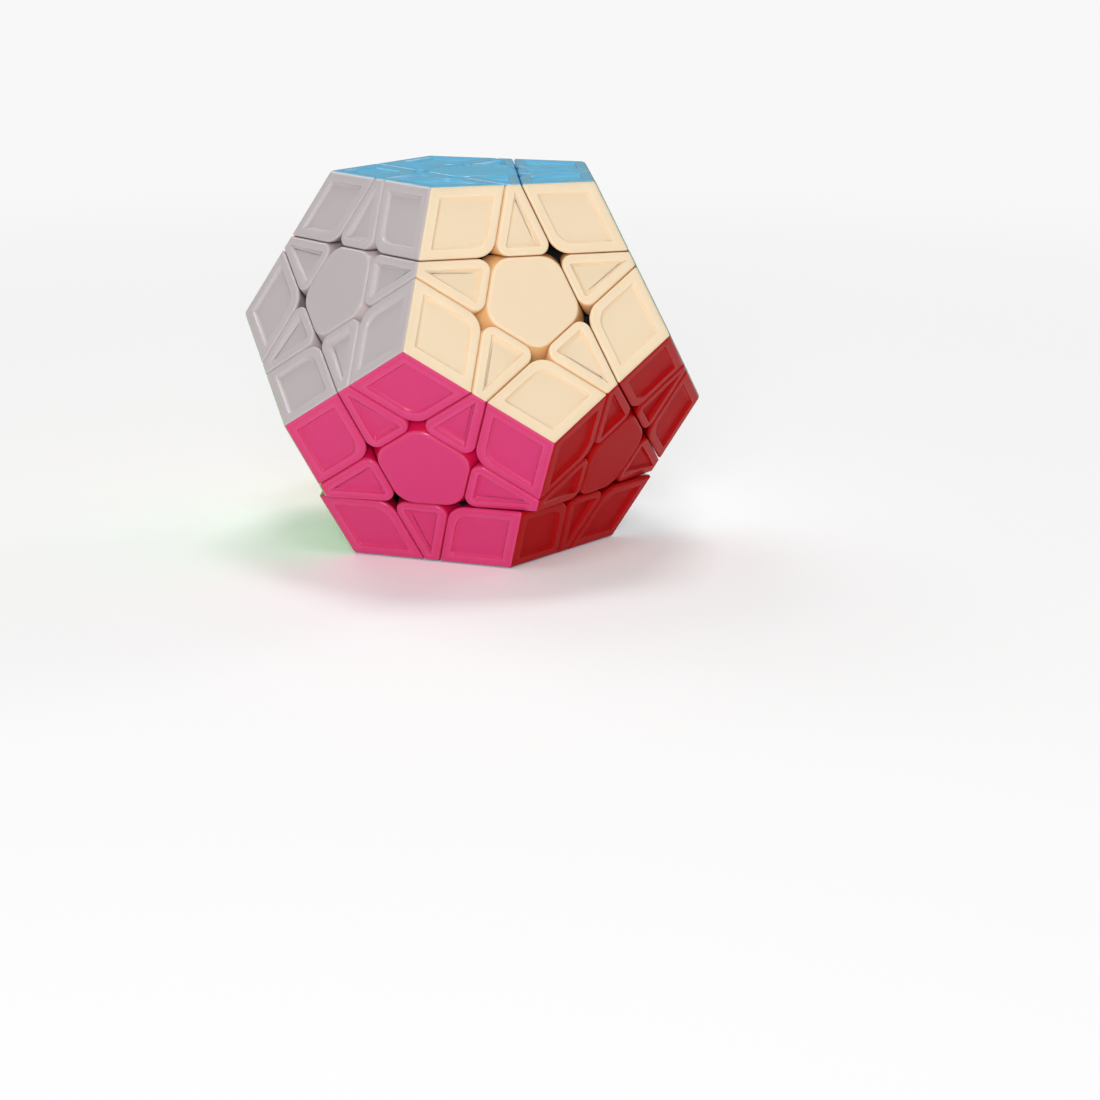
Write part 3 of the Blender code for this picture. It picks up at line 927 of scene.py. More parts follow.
@dataclass
class EdgeShells:
    """The two shells of an edge piece: narrow outside, wide inside, with a three-sided panel."""

    side_rim: float = 0.0435 * INRADIUS
    inner_rim: float = 0.049 * INRADIUS
    tip_rim: float = 1.60 * MM
    inner_rounding: float = 0.060 * INRADIUS
    corner_rounding: tuple[float, float] = (0.40 * MM, 0.10 * MM)  # of the panel's base, top and floor
    tip_rounding: tuple[float, float] = (0.20 * MM, 0.03 * MM)
    ease_before: float = 0.2          # flat strips beside the slope, as shares of its width
    ease_after: float = 0.12
    slope_width: float = 0.55 * MM
    tip_slope: float = 0.65 * MM
    inner_slope: float = 1.15 * MM
    outer_depth: float = 0.45 * MM
    inner_depth: float = 0.92 * MM
    shared_rim: float = 1.18 * MM
    cut_rim: float = 0.46 * MM
    side_cut_rim: float = 0.58 * MM
    slope_steps: int = 8

    def build(self, face: Face, other: Face) -> bpy.types.Mesh:
        """Build the shell on a face, at the edge that it shares with another.

        Args:
            face: The shell's face.
            other: The edge's other face.

        Returns:
            The shell's mesh.
        """
        angle = neighbours_of(face).index(other) * FIFTH
        sides = [
            make_side(Border.SHARED_EDGE, angle, self.shared_rim),
            make_side(Border.OTHER_CUT, angle + FIFTH, self.side_cut_rim),
            make_side(Border.OWN_CUT, angle, self.cut_rim),
            make_side(Border.OTHER_CUT, angle - FIFTH, self.side_cut_rim),
        ]
        wide = self.inner_rounding
        shell = ShellShape(sides, [SHARP_CORNER, wide, wide, SHARP_CORNER], [5, 9, 9, 5])
        shell.skirt()
        shell.rim()
        shell.flat(EASE)
        self.panel_ring(shell, -self.ease_before, 0.0)
        for step in range(self.slope_steps + 1):
            share = step / self.slope_steps
            self.panel_ring(shell, share, share)
        self.panel_ring(shell, 1.0 + self.ease_after, 1.0)
        return shell.mesh("edge_shell", face)

    def panel_ring(self, shell: ShellShape, inset: float, share: float) -> None:
        """Add a three-sided ring of the panel.

        Args:
            shell: The shell.
            inset: How far the ring is across the panel's slope, from 0 at its top to 1 at its floor.
            share: The same held between 0 and 1, for the ring's depth.
        """
        across = -self.side_rim - self.slope_width * inset
        inward = -self.inner_rim - self.inner_slope * inset
        outward = -self.tip_rim - self.tip_slope * inset
        tip = shell.sides[0].distance + outward
        base = -(shell.sides[2].distance + inward)
        sunk = wall_drop(share)
        tip_height = -sunk * self.outer_depth
        base_height = -sunk * self.inner_depth
        side_height = (tip_height + base_height) / 2.0
        top, floor = self.corner_rounding
        base_rounding = top + (floor - top) * share
        tip_rounding = self.tip_rounding[0] + (self.tip_rounding[1] - self.tip_rounding[0]) * share
        heights = [tip_height, side_height, base_height, side_height]
        shell.rings.append(Ring([outward, across, inward, across], heights,
                                [tip_rounding, base_rounding, base_rounding, tip_rounding],
                                PANEL_WEAR_AND_HIGHLIGHT * (1.0 - share), share, painted_wall_shade(share), None,
                                (tip, base, tip_height, base_height)))


@dataclass
class CentreCap:
    """The plain rounded cap over a centre's screw."""

    rounding: float = 0.118 * INRADIUS
    rim_radius: float = 0.62 * MM
    corner_steps: int = 12
    rim_steps: int = 8

    def build(self, face: Face) -> bpy.types.Mesh:
        """Build the cap of a face.

        Args:
            face: The cap's face.

        Returns:
            The cap's mesh.
        """
        sides = [make_side(Border.OTHER_CUT, index * FIFTH, self.rim_radius) for index in range(5)]
        shell = ShellShape(sides, [self.rounding] * 5, [self.corner_steps] * 5, rim_steps=self.rim_steps)
        shell.skirt()
        shell.rim()
        shell.flat(EASE)
        shell.rings[-1].grain = 1.0
        return shell.mesh("centre_cap", face)


# ---------------------------------------------------------------- inner pieces


CUTTER_WIDTH = 6.0 * EDGE             # wide enough to hold the whole puzzle
CONE_LENGTH = 1.6 * EDGE
CONE_FACETS = 90
BALL_SUBDIVISIONS = 5
MERGE = 1e-6                          # points nearer than this are one
BOOLEAN_MERGE = 2e-6
REACH_SLACK = 0.01 * MM
UPRIGHT_FACETS = 6                    # of an inner piece's rounded uprights
ON_FACE = 0.9999                      # least cosine of a face that lies on the puzzle's outside


class Workshop:
    """Makes solids round the puzzle's middle, and cuts or joins them."""

    def hold(self, name: str, shape: bmesh.types.BMesh) -> bpy.types.Object:
        """Make an object from a bmesh, which is used up.

        Args:
            name: The object's name.
            shape: Its shape.

        Returns:
            The object.
        """
        mesh = bpy.data.meshes.new(name)
        shape.to_mesh(mesh)
        shape.free()
        made = bpy.data.objects.new(name, mesh)
        bpy.context.scene.collection.objects.link(made)
        return made

    def block(self, name: str, planes: Sequence[tuple[Vector, float]]) -> bpy.types.Object:
        """Cut a cube down by planes, each an outward axis and its distance from the middle.

        Args:
            name: The object's name.
            planes: Outward axes, each with its distance from the middle.

        Returns:
            The solid.
        """
        shape = bmesh.new()
        bmesh.ops.create_cube(shape, size=CUTTER_WIDTH)
        for axis, distance in planes:
            whole = shape.verts[:] + shape.edges[:] + shape.faces[:]
            bmesh.ops.bisect_plane(shape, geom=whole, plane_co=axis * distance, plane_no=axis,
                                   clear_outer=True, dist=1e-7)
            bmesh.ops.holes_fill(shape, edges=[edge for edge in shape.edges if edge.is_boundary])
        bmesh.ops.recalc_face_normals(shape, faces=shape.faces[:])
        return self.hold(name, shape)

    def ball(self, radius: float) -> bpy.types.Object:
        """Make a fine ball.

        Args:
            radius: The ball's radius.

        Returns:
            The ball, round the middle.
        """
        shape = bmesh.new()
        bmesh.ops.create_icosphere(shape, subdivisions=BALL_SUBDIVISIONS, radius=radius)
        return self.hold("ball", shape)

    def cone(self, axis: Vector, offset: float) -> bpy.types.Object:
        """Make the cone of a layer's feet, with its point moved along its axis.

        Args:
            axis: The layer's axis.
            offset: How far the point lies along the axis.

        Returns:
            The cone.
        """
        shape = bmesh.new()
        spot = Matrix.Translation(axis * (offset + CONE_LENGTH / 2.0)) @ facing(axis)
        bmesh.ops.create_cone(shape, cap_ends=True, segments=CONE_FACETS, radius1=0.0, depth=CONE_LENGTH,
                              matrix=spot, radius2=CONE_LENGTH * math.tan(FOOT_CONE))
        bmesh.ops.remove_doubles(shape, verts=shape.verts[:], dist=MERGE)
        return self.hold("cone", shape)

    def turned(self, name: str, profile: Sequence[tuple[float, float]], sides: int = 48) -> bpy.types.Object:
        """Turn (radius, height) points, listed top to bottom, about the Z axis.

        Args:
            name: The object's name.
            profile: The points.
            sides: Facets round the axis.

        Returns:
            The solid.
        """
        shape = bmesh.new()
        verts = [shape.verts.new((radius, 0.0, height)) for radius, height in profile]
        edges = [shape.edges.new(pair) for pair in zip(verts, verts[1:])]
        bmesh.ops.spin(shape, geom=verts + edges, cent=(0.0, 0.0, 0.0), axis=(0.0, 0.0, 1.0),
                       angle=math.tau, steps=sides, use_merge=True)
        bmesh.ops.remove_doubles(shape, verts=shape.verts[:], dist=MERGE)
        bmesh.ops.recalc_face_normals(shape, faces=shape.faces[:])
        return self.hold(name, shape)

    def combine(self, target: bpy.types.Object, operation: str, tool: bpy.types.Object) -> None:
        """Boolean the target with a tool, which is used up.

        Args:
            target: The solid that is changed.
            operation: UNION, INTERSECT or DIFFERENCE.
            tool: The solid that changes it.
        """
        step = target.modifiers.new("cut", "BOOLEAN")
        step.operation = operation
        step.object = tool
        self.settle(target)
        bpy.data.objects.remove(tool, do_unlink=True)

    def settle(self, made: bpy.types.Object) -> None:
        """Make an object's evaluated shape its own mesh.

        Args:
            made: The object.
        """
        bpy.context.view_layer.update()
        evaluated = made.evaluated_get(bpy.context.evaluated_depsgraph_get())
        mesh = bpy.data.meshes.new_from_object(evaluated)
        made.modifiers.clear()
        made.data = mesh
        shape = bmesh.new()
        shape.from_mesh(mesh)
        bmesh.ops.remove_doubles(shape, verts=shape.verts[:], dist=BOOLEAN_MERGE)
        shape.to_mesh(mesh)
        shape.free()

    def release(self, made: bpy.types.Object) -> bpy.types.Mesh:
        """Take an object's mesh and remove the object.

        Args:
            made: The object.

        Returns:
            Its mesh.
        """
        mesh = made.data
        bpy.data.objects.remove(made, do_unlink=True)
        return mesh

    def round_uprights(self, made: bpy.types.Object, reach: float, offset: float) -> None:
        """Round the edges between two cuts that reach out past a distance from the middle.

        Args:
            made: The solid.
            reach: Edges with a point beyond this distance are rounded.
            offset: The rounding's width.
        """
        shape = bmesh.new()
        shape.from_mesh(made.data)
        chosen = []
        for edge in shape.edges:
            on_face = any(face.normal.dot(axis) > ON_FACE and face.verts[0].co.dot(axis) > CUT
                          for face in edge.link_faces for axis in AXES.values())
            outer = any(vert.co.dot(axis) > reach - REACH_SLACK for vert in edge.verts for axis in AXES.values())
            if outer and not on_face:
                chosen.append(edge)
        bmesh.ops.bevel(shape, geom=chosen, offset=offset, segments=UPRIGHT_FACETS, profile=0.5, affect="EDGES")
        shape.to_mesh(made.data)
        shape.free()


@dataclass
class InnerPieces:
    """Dark inner pieces that carry the shells: corners, edges and centres."""

    shop: Workshop
    plug_clearance: float = WALL + 2.0 * FIT
    pocket_radius: float = 3.4 * MM
    bore_radius: float = 1.7 * MM
    pocket_floor: float = 20.5 * MM
    tube_radius: float = 4.7 * MM
    tube_start: float = 16.4 * MM
    corner_rounding: float = 0.080 * INRADIUS
    edge_rounding: float = 0.060 * INRADIUS
    centre_rounding: float = 0.110 * INRADIUS
    overlap: float = 1.0 * MM         # how far parts of one piece reach into each other
    arc_steps: int = 8
    shoulder: float = INRADIUS - SKIRT - FIT   # top of the body that the plugs stand on

    def foot(self, layers: Sequence[Face]) -> bpy.types.Object:
        """Make the foot that lies inside the cones of its layers.

        Args:
            layers: The piece's layers.

        Returns:
            The foot.
        """
        outward = sum((AXES[layer] for layer in layers), Vector()).normalized()
        foot = self.shop.block("foot", [(-outward, -FOOT_BOTTOM)])
        self.shop.combine(foot, "INTERSECT", self.shop.ball(FOOT_TOP - GAP / 2.0))
        for layer in layers:
            self.shop.combine(foot, "INTERSECT", self.shop.cone(AXES[layer], CONE_CLEARANCE))
        return foot

    def plug(self, face: Face, sides: Sequence[tuple[Face, Border]]) -> bpy.types.Object:
        """Make the part that fills a shell, clear of its walls.

        Args:
            face: The shell's face.
            sides: The shell's sides, each a neighbouring face and what the side meets.

        Returns:
            The plug.
        """
        planes = [(AXES[face], INRADIUS - PLATE - FIT), (-AXES[face], -(INRADIUS - SKIRT - self.overlap))]
        for other, border in sides:
            if border is Border.SHARED_EDGE:
                planes.append(((AXES[other] - AXES[face]).normalized(), -self.plug_clearance))
            elif border is Border.OWN_CUT:
                planes.append((-AXES[other], -(CUT + SHELL_GAP / 2.0 + self.plug_clearance)))
            else:
                planes.append((AXES[other], CUT - SHELL_GAP / 2.0 - self.plug_clearance))
        return self.shop.block("plug", planes)

    def corner(self) -> bpy.types.Object:
        """Make the inner corner piece of the master faces.

        Returns:
            The piece.
        """
        layers = (TOP, FRONT, RIGHT)
        planes = [(AXES[layer], self.shoulder) for layer in layers]
        planes += [(-AXES[layer], -(CUT + GAP / 2.0)) for layer in layers]
        corner = self.shop.block("corner_inner", planes)
        self.shop.round_uprights(corner, self.shoulder, self.corner_rounding)
        self.shop.combine(corner, "UNION", self.foot(layers))
        for face in layers:
            others = [layer for layer in layers if layer is not face]
            borders = [(other, border) for other in others for border in (Border.SHARED_EDGE, Border.OWN_CUT)]
            self.shop.combine(corner, "UNION", self.plug(face, borders))
        return corner

    def edge(self) -> bpy.types.Object:
        """Make the inner edge piece of the master faces.

        Returns:
            The piece.
        """
        layers = (TOP, FRONT)
        sides = [face for face in FACES if are_neighbours(face, TOP) and are_neighbours(face, FRONT)]
        planes = [(AXES[layer], self.shoulder) for layer in layers]
        planes += [(-AXES[layer], -(CUT + GAP / 2.0)) for layer in layers]
        planes += [(AXES[side], CUT - GAP / 2.0) for side in sides]
        edge = self.shop.block("edge_inner", planes)
        self.shop.round_uprights(edge, self.shoulder, self.edge_rounding)
        for face, other in ((TOP, FRONT), (FRONT, TOP)):
            borders = [(other, Border.SHARED_EDGE), (other, Border.OWN_CUT)]
            borders += [(side, Border.OTHER_CUT) for side in sides]
            self.shop.combine(edge, "UNION", self.plug(face, borders))
        self.shop.combine(edge, "UNION", self.foot(layers))
        for side in sides:
            room = self.shop.ball(FOOT_TOP + GAP / 2.0)
            self.shop.combine(room, "INTERSECT", self.shop.cone(AXES[side], -CONE_CLEARANCE))
            self.shop.combine(edge, "DIFFERENCE", room)
        return edge

    def centre(self) -> bpy.types.Object:
        """Make the inner centre of the top face, with its stem, flange, spring pocket and bore.

        Returns:
            The piece.
        """
        sides = neighbours_of(TOP)
        planes = [(AXES[TOP], self.shoulder), (-AXES[TOP], -CUT)]
        planes += [(AXES[side], CUT - GAP / 2.0) for side in sides]
        centre = self.shop.block("centre_inner", planes)
        self.shop.round_uprights(centre, self.shoulder, self.centre_rounding)
        self.shop.combine(centre, "UNION", self.plug(TOP, [(side, Border.OTHER_CUT) for side in sides]))
        self.shop.combine(centre, "DIFFERENCE", self.shop.ball(FOOT_TOP + GAP / 2.0))
        self.shop.combine(centre, "UNION", self.stem())
        bottom = self.tube_start - self.overlap
        pocket = [(0.0, INRADIUS), (self.pocket_radius, INRADIUS), (self.pocket_radius, self.pocket_floor),
                  (self.bore_radius, self.pocket_floor), (self.bore_radius, bottom), (0.0, bottom)]
        self.shop.combine(centre, "DIFFERENCE", self.shop.turned("pocket", pocket))
        return centre

    def stem(self) -> bpy.types.Object:
        """Make a centre's stem between the feet, its flange under them and its tube down to the core.

        Returns:
            The solid.
        """
        radius = FOOT_TOP * math.sin(STEM_CONE)
        top = INRADIUS - PLATE - self.overlap
        profile = [(0.0, top), (radius, top), (radius, FOOT_TOP * math.cos(STEM_CONE) - self.overlap)]
        profile += arc(FOOT_BOTTOM - GAP, STEM_CONE, FLANGE_CONE, self.arc_steps)
        profile += arc(FLANGE_BOTTOM, FLANGE_CONE, math.asin(self.tube_radius / FLANGE_BOTTOM), self.arc_steps)
        profile += [(self.tube_radius, self.tube_start), (0.0, self.tube_start)]
        return self.shop.turned("stem", profile)


def arc(radius: float, start: float, end: float, steps: int) -> list[tuple[float, float]]:
    """Give (radius, height) points on a circle about the middle, between two angles from the axis."""
    angles = [start + (end - start) * step / steps for step in range(steps + 1)]
    return [(radius * math.sin(angle), radius * math.cos(angle)) for angle in angles]


# ---------------------------------------------------------------- core and hardware


AXIS_REACH = 1.0                      # how far out along the faces' axes the points lie that carry instances


class GeometryBench:
    """Short way to build a Geometry Nodes tree with named inputs."""

    def __init__(self, name: str) -> None:
        """Start a tree with a geometry input and output.

        Args:
            name: The tree's name.
        """
        self.tree = bpy.data.node_groups.new(name, "GeometryNodeTree")
        self.tree.interface.new_socket("Geometry", in_out="INPUT", socket_type="NodeSocketGeometry")
        self.tree.interface.new_socket("Geometry", in_out="OUTPUT", socket_type="NodeSocketGeometry")
        self.source = self.tree.nodes.new("NodeGroupInput")
        self.result = self.tree.nodes.new("NodeGroupOutput")
        self.dress = self.tree.nodes.new("GeometryNodeSetMaterial")
        self.sizes: dict[str, float] = {}

    def size(self, name: str, value: float) -> bpy.types.NodeSocket:
        """Add a named length input with its value.

        Args:
            name: The input's name.
            value: Its value.

        Returns:
            The input's socket.
        """
        self.tree.interface.new_socket(name, in_out="INPUT", socket_type="NodeSocketFloat")
        self.sizes[name] = value
        return self.source.outputs[name]

    def add(self, kind: str, **values: object) -> bpy.types.Node:
        """Add a node.

        Args:
            kind: The node's type name.
            values: Attributes, or inputs by name with _ for each blank.

        Returns:
            The node.
        """
        node = self.tree.nodes.new(kind)
        for key, value in values.items():
            if hasattr(node, key):
                setattr(node, key, value)
                continue
            target = node.inputs[key.replace("_", " ")]
            if isinstance(value, bpy.types.NodeSocket):
                self.tree.links.new(value, target)
            else:
                target.default_value = value
        return node

    def join(self, parts: Sequence[bpy.types.NodeSocket]) -> bpy.types.NodeSocket:
        """Join several geometries.

        Args:
            parts: The geometries.

        Returns:
            The joined geometry.
        """
        node = self.add("GeometryNodeJoinGeometry")
        for part in parts:
            self.tree.links.new(part, node.inputs[0])
        return node.outputs[0]

    def lifted(self, part: bpy.types.NodeSocket, height: float) -> bpy.types.NodeSocket:
        """Move a geometry up the Z axis."""
        node = self.add("GeometryNodeTransform", Geometry=part, Translation=(0.0, 0.0, height))
        return node.outputs[0]

    def boolean(self, operation: str, first: bpy.types.NodeSocket | None,
                others: Sequence[bpy.types.NodeSocket]) -> bpy.types.NodeSocket:
        """Join solids, or cut the first with the others.

        Args:
            operation: UNION or DIFFERENCE.
            first: The solid that is cut, or None for a union.
            others: The other solids.

        Returns:
            The resulting solid.
        """
        node = self.add("GeometryNodeMeshBoolean", solver="EXACT", operation=operation)
        if first is not None:
            self.tree.links.new(first, node.inputs[0])
        for other in others:
            self.tree.links.new(other, node.inputs[1])
        return node.outputs[0]

    def on_axes(self, part: bpy.types.NodeSocket, height: float = 0.0) -> None:
        """Instance a part on every input point, with its Z axis along the point's own direction.

        Args:
            part: The part.
            height: How far from the middle its origin is set.
        """
        position = self.add("GeometryNodeInputPosition").outputs[0]
        align = self.add("FunctionNodeAlignEulerToVector", axis="Z", Vector=position)
        spread = self.add("GeometryNodeInstanceOnPoints", Points=self.source.outputs["Geometry"],
                          Instance=self.lifted(part, height - AXIS_REACH), Rotation=align.outputs[0])
        self.finish(spread.outputs[0])

    def finish(self, part: bpy.types.NodeSocket) -> None:
        """End the tree with Realize Instances and Set Material.

        Args:
            part: The whole geometry.
        """
        real = self.add("GeometryNodeRealizeInstances", Geometry=part)
        self.tree.links.new(real.outputs[0], self.dress.inputs["Geometry"])
        self.tree.links.new(self.dress.outputs[0], self.result.inputs[0])

    def make(self, name: str, material: bpy.types.Material) -> bpy.types.Mesh:
        """Run the tree on a point of every face's axis and give the resulting plain mesh.

        Args:
            name: The mesh's name.
            material: The finish of the result.

        Returns:
            The mesh, still round the puzzle's middle.
        """
        self.dress.inputs["Material"].default_value = material
        mesh = bpy.data.meshes.new(name)
        mesh.from_pydata([tuple(AXES[face] * AXIS_REACH) for face in FACES], [], [])
        holder = bpy.data.objects.new(name, mesh)
        bpy.context.scene.collection.objects.link(holder)
        step = holder.modifiers.new(name, "NODES")
        step.node_group = self.tree
        for item in self.tree.interface.items_tree:
            if item.name in self.sizes:
                step[item.identifier] = self.sizes[item.name]
        bpy.context.view_layer.update()
        evaluated = holder.evaluated_get(bpy.context.evaluated_depsgraph_get())
        result = bpy.data.meshes.new_from_object(evaluated)
        bpy.data.objects.remove(holder, do_unlink=True)
        return result


@dataclass
class Hardware:
    """Screws, springs and washers, one of each for every centre, made by Geometry Nodes."""

    shank_radius: float = 1.2 * MM
    shank_start: float = 11.0 * MM
    head_radius: float = 2.7 * MM
    head_base: float = 30.0 * MM
    head_top: float = 32.0 * MM
    spring_radius: float = 2.3 * MM
    spring_wire: float = 0.32 * MM
    spring_floor: float = 20.9 * MM
    spring_turns: float = 5.5
    spring_slack: float = 0.8 * MM    # from the spring's end to the washer
    spring_facets: tuple[int, int] = (28, 8)          # for each turn, and round the wire
    shank_facets: int = 24
    head_facets: int = 36
    head_taper: float = 0.86          # the head's top radius as a share of its base's
    slot_length: float = 3.4 * MM
    slot_width: float = 0.7 * MM
    slot_height: float = 2.0 * MM
    slot_drop: float = 0.1 * MM       # of the slots' middle below the head's top
    thread_rise: float = 0.12 * MM    # of the thread's middle over the shank
    thread_radius: float = 0.16 * MM
    thread_turns: float = 7.0
    thread_length: float = 4.2 * MM
    thread_start: float = 0.3 * MM    # from the shank's end
    thread_facets: tuple[int, int] = (20, 4)          # for each turn, and round the ridge
    washer_height: float = 0.5 * MM
    washer_width: float = 1.2 * MM
    washer_radius: float = 2.2 * MM
    washer_facets: int = 36

    def springs(self, material: bpy.types.Material) -> bpy.types.Mesh:
        """Make the coil springs.

        Args:
            material: Their finish.

        Returns:
            The mesh, round the puzzle's middle.
        """
        bench = GeometryBench("springs")
        radius = bench.size("Coil radius", self.spring_radius)
        wire = bench.size("Wire radius", self.spring_wire)
        top = self.head_base - self.washer_height - self.spring_slack
        height = bench.size("Height", top - self.spring_floor)
        along, around = self.spring_facets
        coil = bench.add("GeometryNodeCurveSpiral", Resolution=along, Rotations=self.spring_turns,
                         Start_Radius=radius, End_Radius=radius, Height=height)
        section = bench.add("GeometryNodeCurvePrimitiveCircle", Resolution=around, Radius=wire)
        tube = bench.add("GeometryNodeCurveToMesh", Curve=coil.outputs[0], Profile_Curve=section.outputs[0],
                         Fill_Caps=True)
        bench.on_axes(tube.outputs[0], self.spring_floor)
        return bench.make("springs", material)

    def screws(self, material: bpy.types.Material) -> bpy.types.Mesh:
        """Make the screws, with a thread and a cross recess.

        Args:
            material: Their finish.

        Returns:
            The mesh, round the puzzle's middle.
        """
        bench = GeometryBench("screws")
        shank_radius = bench.size("Shank radius", self.shank_radius)
        head_radius = bench.size("Head radius", self.head_radius)
        thread_radius = bench.size("Thread radius", self.shank_radius + self.thread_rise)
        length = self.head_base - self.shank_start
        shank = bench.add("GeometryNodeMeshCylinder", Vertices=self.shank_facets, Radius=shank_radius, Depth=length)
        head = bench.add("GeometryNodeMeshCone", Vertices=self.head_facets, Radius_Bottom=head_radius,
                         Radius_Top=self.head_radius * self.head_taper, Depth=self.head_top - self.head_base)
        slots = []
        for slot_x, slot_y in ((self.slot_length, self.slot_width), (self.slot_width, self.slot_length)):
            bar = bench.add("GeometryNodeMeshCube", Size=(slot_x, slot_y, self.slot_height))
            slots.append(bench.lifted(bar.outputs[0], self.head_top - self.slot_drop))
        cut = bench.boolean("DIFFERENCE", bench.lifted(head.outputs[0], self.head_base), slots)
        along, around = self.thread_facets
        thread = bench.add("GeometryNodeCurveSpiral", Resolution=along, Rotations=self.thread_turns,
                           Start_Radius=thread_radius, End_Radius=thread_radius, Height=self.thread_length)
        ridge = bench.add("GeometryNodeCurvePrimitiveCircle", Resolution=around, Radius=self.thread_radius)
        wound = bench.add("GeometryNodeCurveToMesh", Curve=thread.outputs[0], Profile_Curve=ridge.outputs[0],
                          Fill_Caps=True)
        parts = [bench.lifted(shank.outputs[0], self.shank_start + length / 2.0), cut,
                 bench.lifted(wound.outputs[0], self.shank_start + self.thread_start)]
        bench.on_axes(bench.join(parts))
        return bench.make("screws", material)

    def washers(self, material: bpy.types.Material) -> bpy.types.Mesh:
        """Make the washers between the springs and the screws' heads.

        Args:
            material: Their finish.

        Returns:
            The mesh, round the puzzle's middle.
        """
        bench = GeometryBench("washers")
        radius = bench.size("Ring radius", self.washer_radius)
        ring = bench.add("GeometryNodeCurvePrimitiveCircle", Resolution=self.washer_facets, Radius=radius)
        section = bench.add("GeometryNodeCurvePrimitiveQuadrilateral", Width=self.washer_width,
                            Height=self.washer_height)
        flat = bench.add("GeometryNodeCurveToMesh", Curve=ring.outputs[0], Profile_Curve=section.outputs[0])
        bench.on_axes(flat.outputs[0], self.head_base - self.washer_height / 2.0 - FIT)
        return bench.make("washers", material)


@dataclass
class Core:
    """Ball in the middle of the puzzle, with a collared arm along every axis."""

    ball_radius: float = 8.5 * MM
    arm_radius: float = 3.6 * MM
    arm_end: float = 16.0 * MM
    collar_radius: float = 4.4 * MM
    collar_start: float = 9.6 * MM
    bore_radius: float = 1.7 * MM
    bore_length: float = 8.0 * MM
    bore_drop: float = 1.5 * MM       # of the bore's middle below the arm's end
    arm_start: float = 3.0 * MM
    arm_facets: int = 40
    bore_facets: int = 24
    collar_height: float = 2.2 * MM
    collar_drop: float = 1.0 * MM
    collar_top: float = 1.001         # radius of the collar's top as a share of the arm's

    def arms(self, material: bpy.types.Material) -> bpy.types.Mesh:
        """Make the twelve arms.

        Args:
            material: Their finish.

        Returns:
            The mesh, round the puzzle's middle.
        """
        bench = GeometryBench("core")
        radius = bench.size("Arm radius", self.arm_radius)
        arm = bench.add("GeometryNodeMeshCylinder", Vertices=self.arm_facets, Radius=radius,
                        Depth=self.arm_end - self.arm_start)
        collar = bench.add("GeometryNodeMeshCone", Vertices=self.arm_facets, Radius_Bottom=self.collar_radius,
                           Radius_Top=self.arm_radius * self.collar_top, Depth=self.collar_height)
        bore = bench.add("GeometryNodeMeshCylinder", Vertices=self.bore_facets, Radius=self.bore_radius,
                         Depth=self.bore_length)
        solid = bench.boolean("UNION", None, [
            bench.lifted(arm.outputs[0], (self.arm_end + self.arm_start) / 2.0),
            bench.lifted(collar.outputs[0], self.collar_start - self.collar_drop),
        ])
        drilled = bench.boolean("DIFFERENCE", solid, [bench.lifted(bore.outputs[0], self.arm_end - self.bore_drop)])
        bench.on_axes(drilled)
        return bench.make("core_arms", material)

    def build(self, shop: Workshop, material: bpy.types.Material) -> bpy.types.Mesh:
        """Make the core as one solid.

        Args:
            shop: Where the ball is made and joined.
            material: The core's finish.

        Returns:
            The core's mesh round the puzzle's middle.
        """
        core = shop.ball(self.ball_radius)
        arms = bpy.data.objects.new("arms", self.arms(material))
        bpy.context.scene.collection.objects.link(arms)
        step = core.modifiers.new("arms", "BOOLEAN")
        step.operation = "UNION"
        step.use_self = True
        step.object = arms
        shop.settle(core)
        bpy.data.objects.remove(arms, do_unlink=True)
        return shop.release(core)


# ---------------------------------------------------------------- assembly


SHARP_ANGLE = math.radians(32.0)      # edges that turn by more than this stay crisp


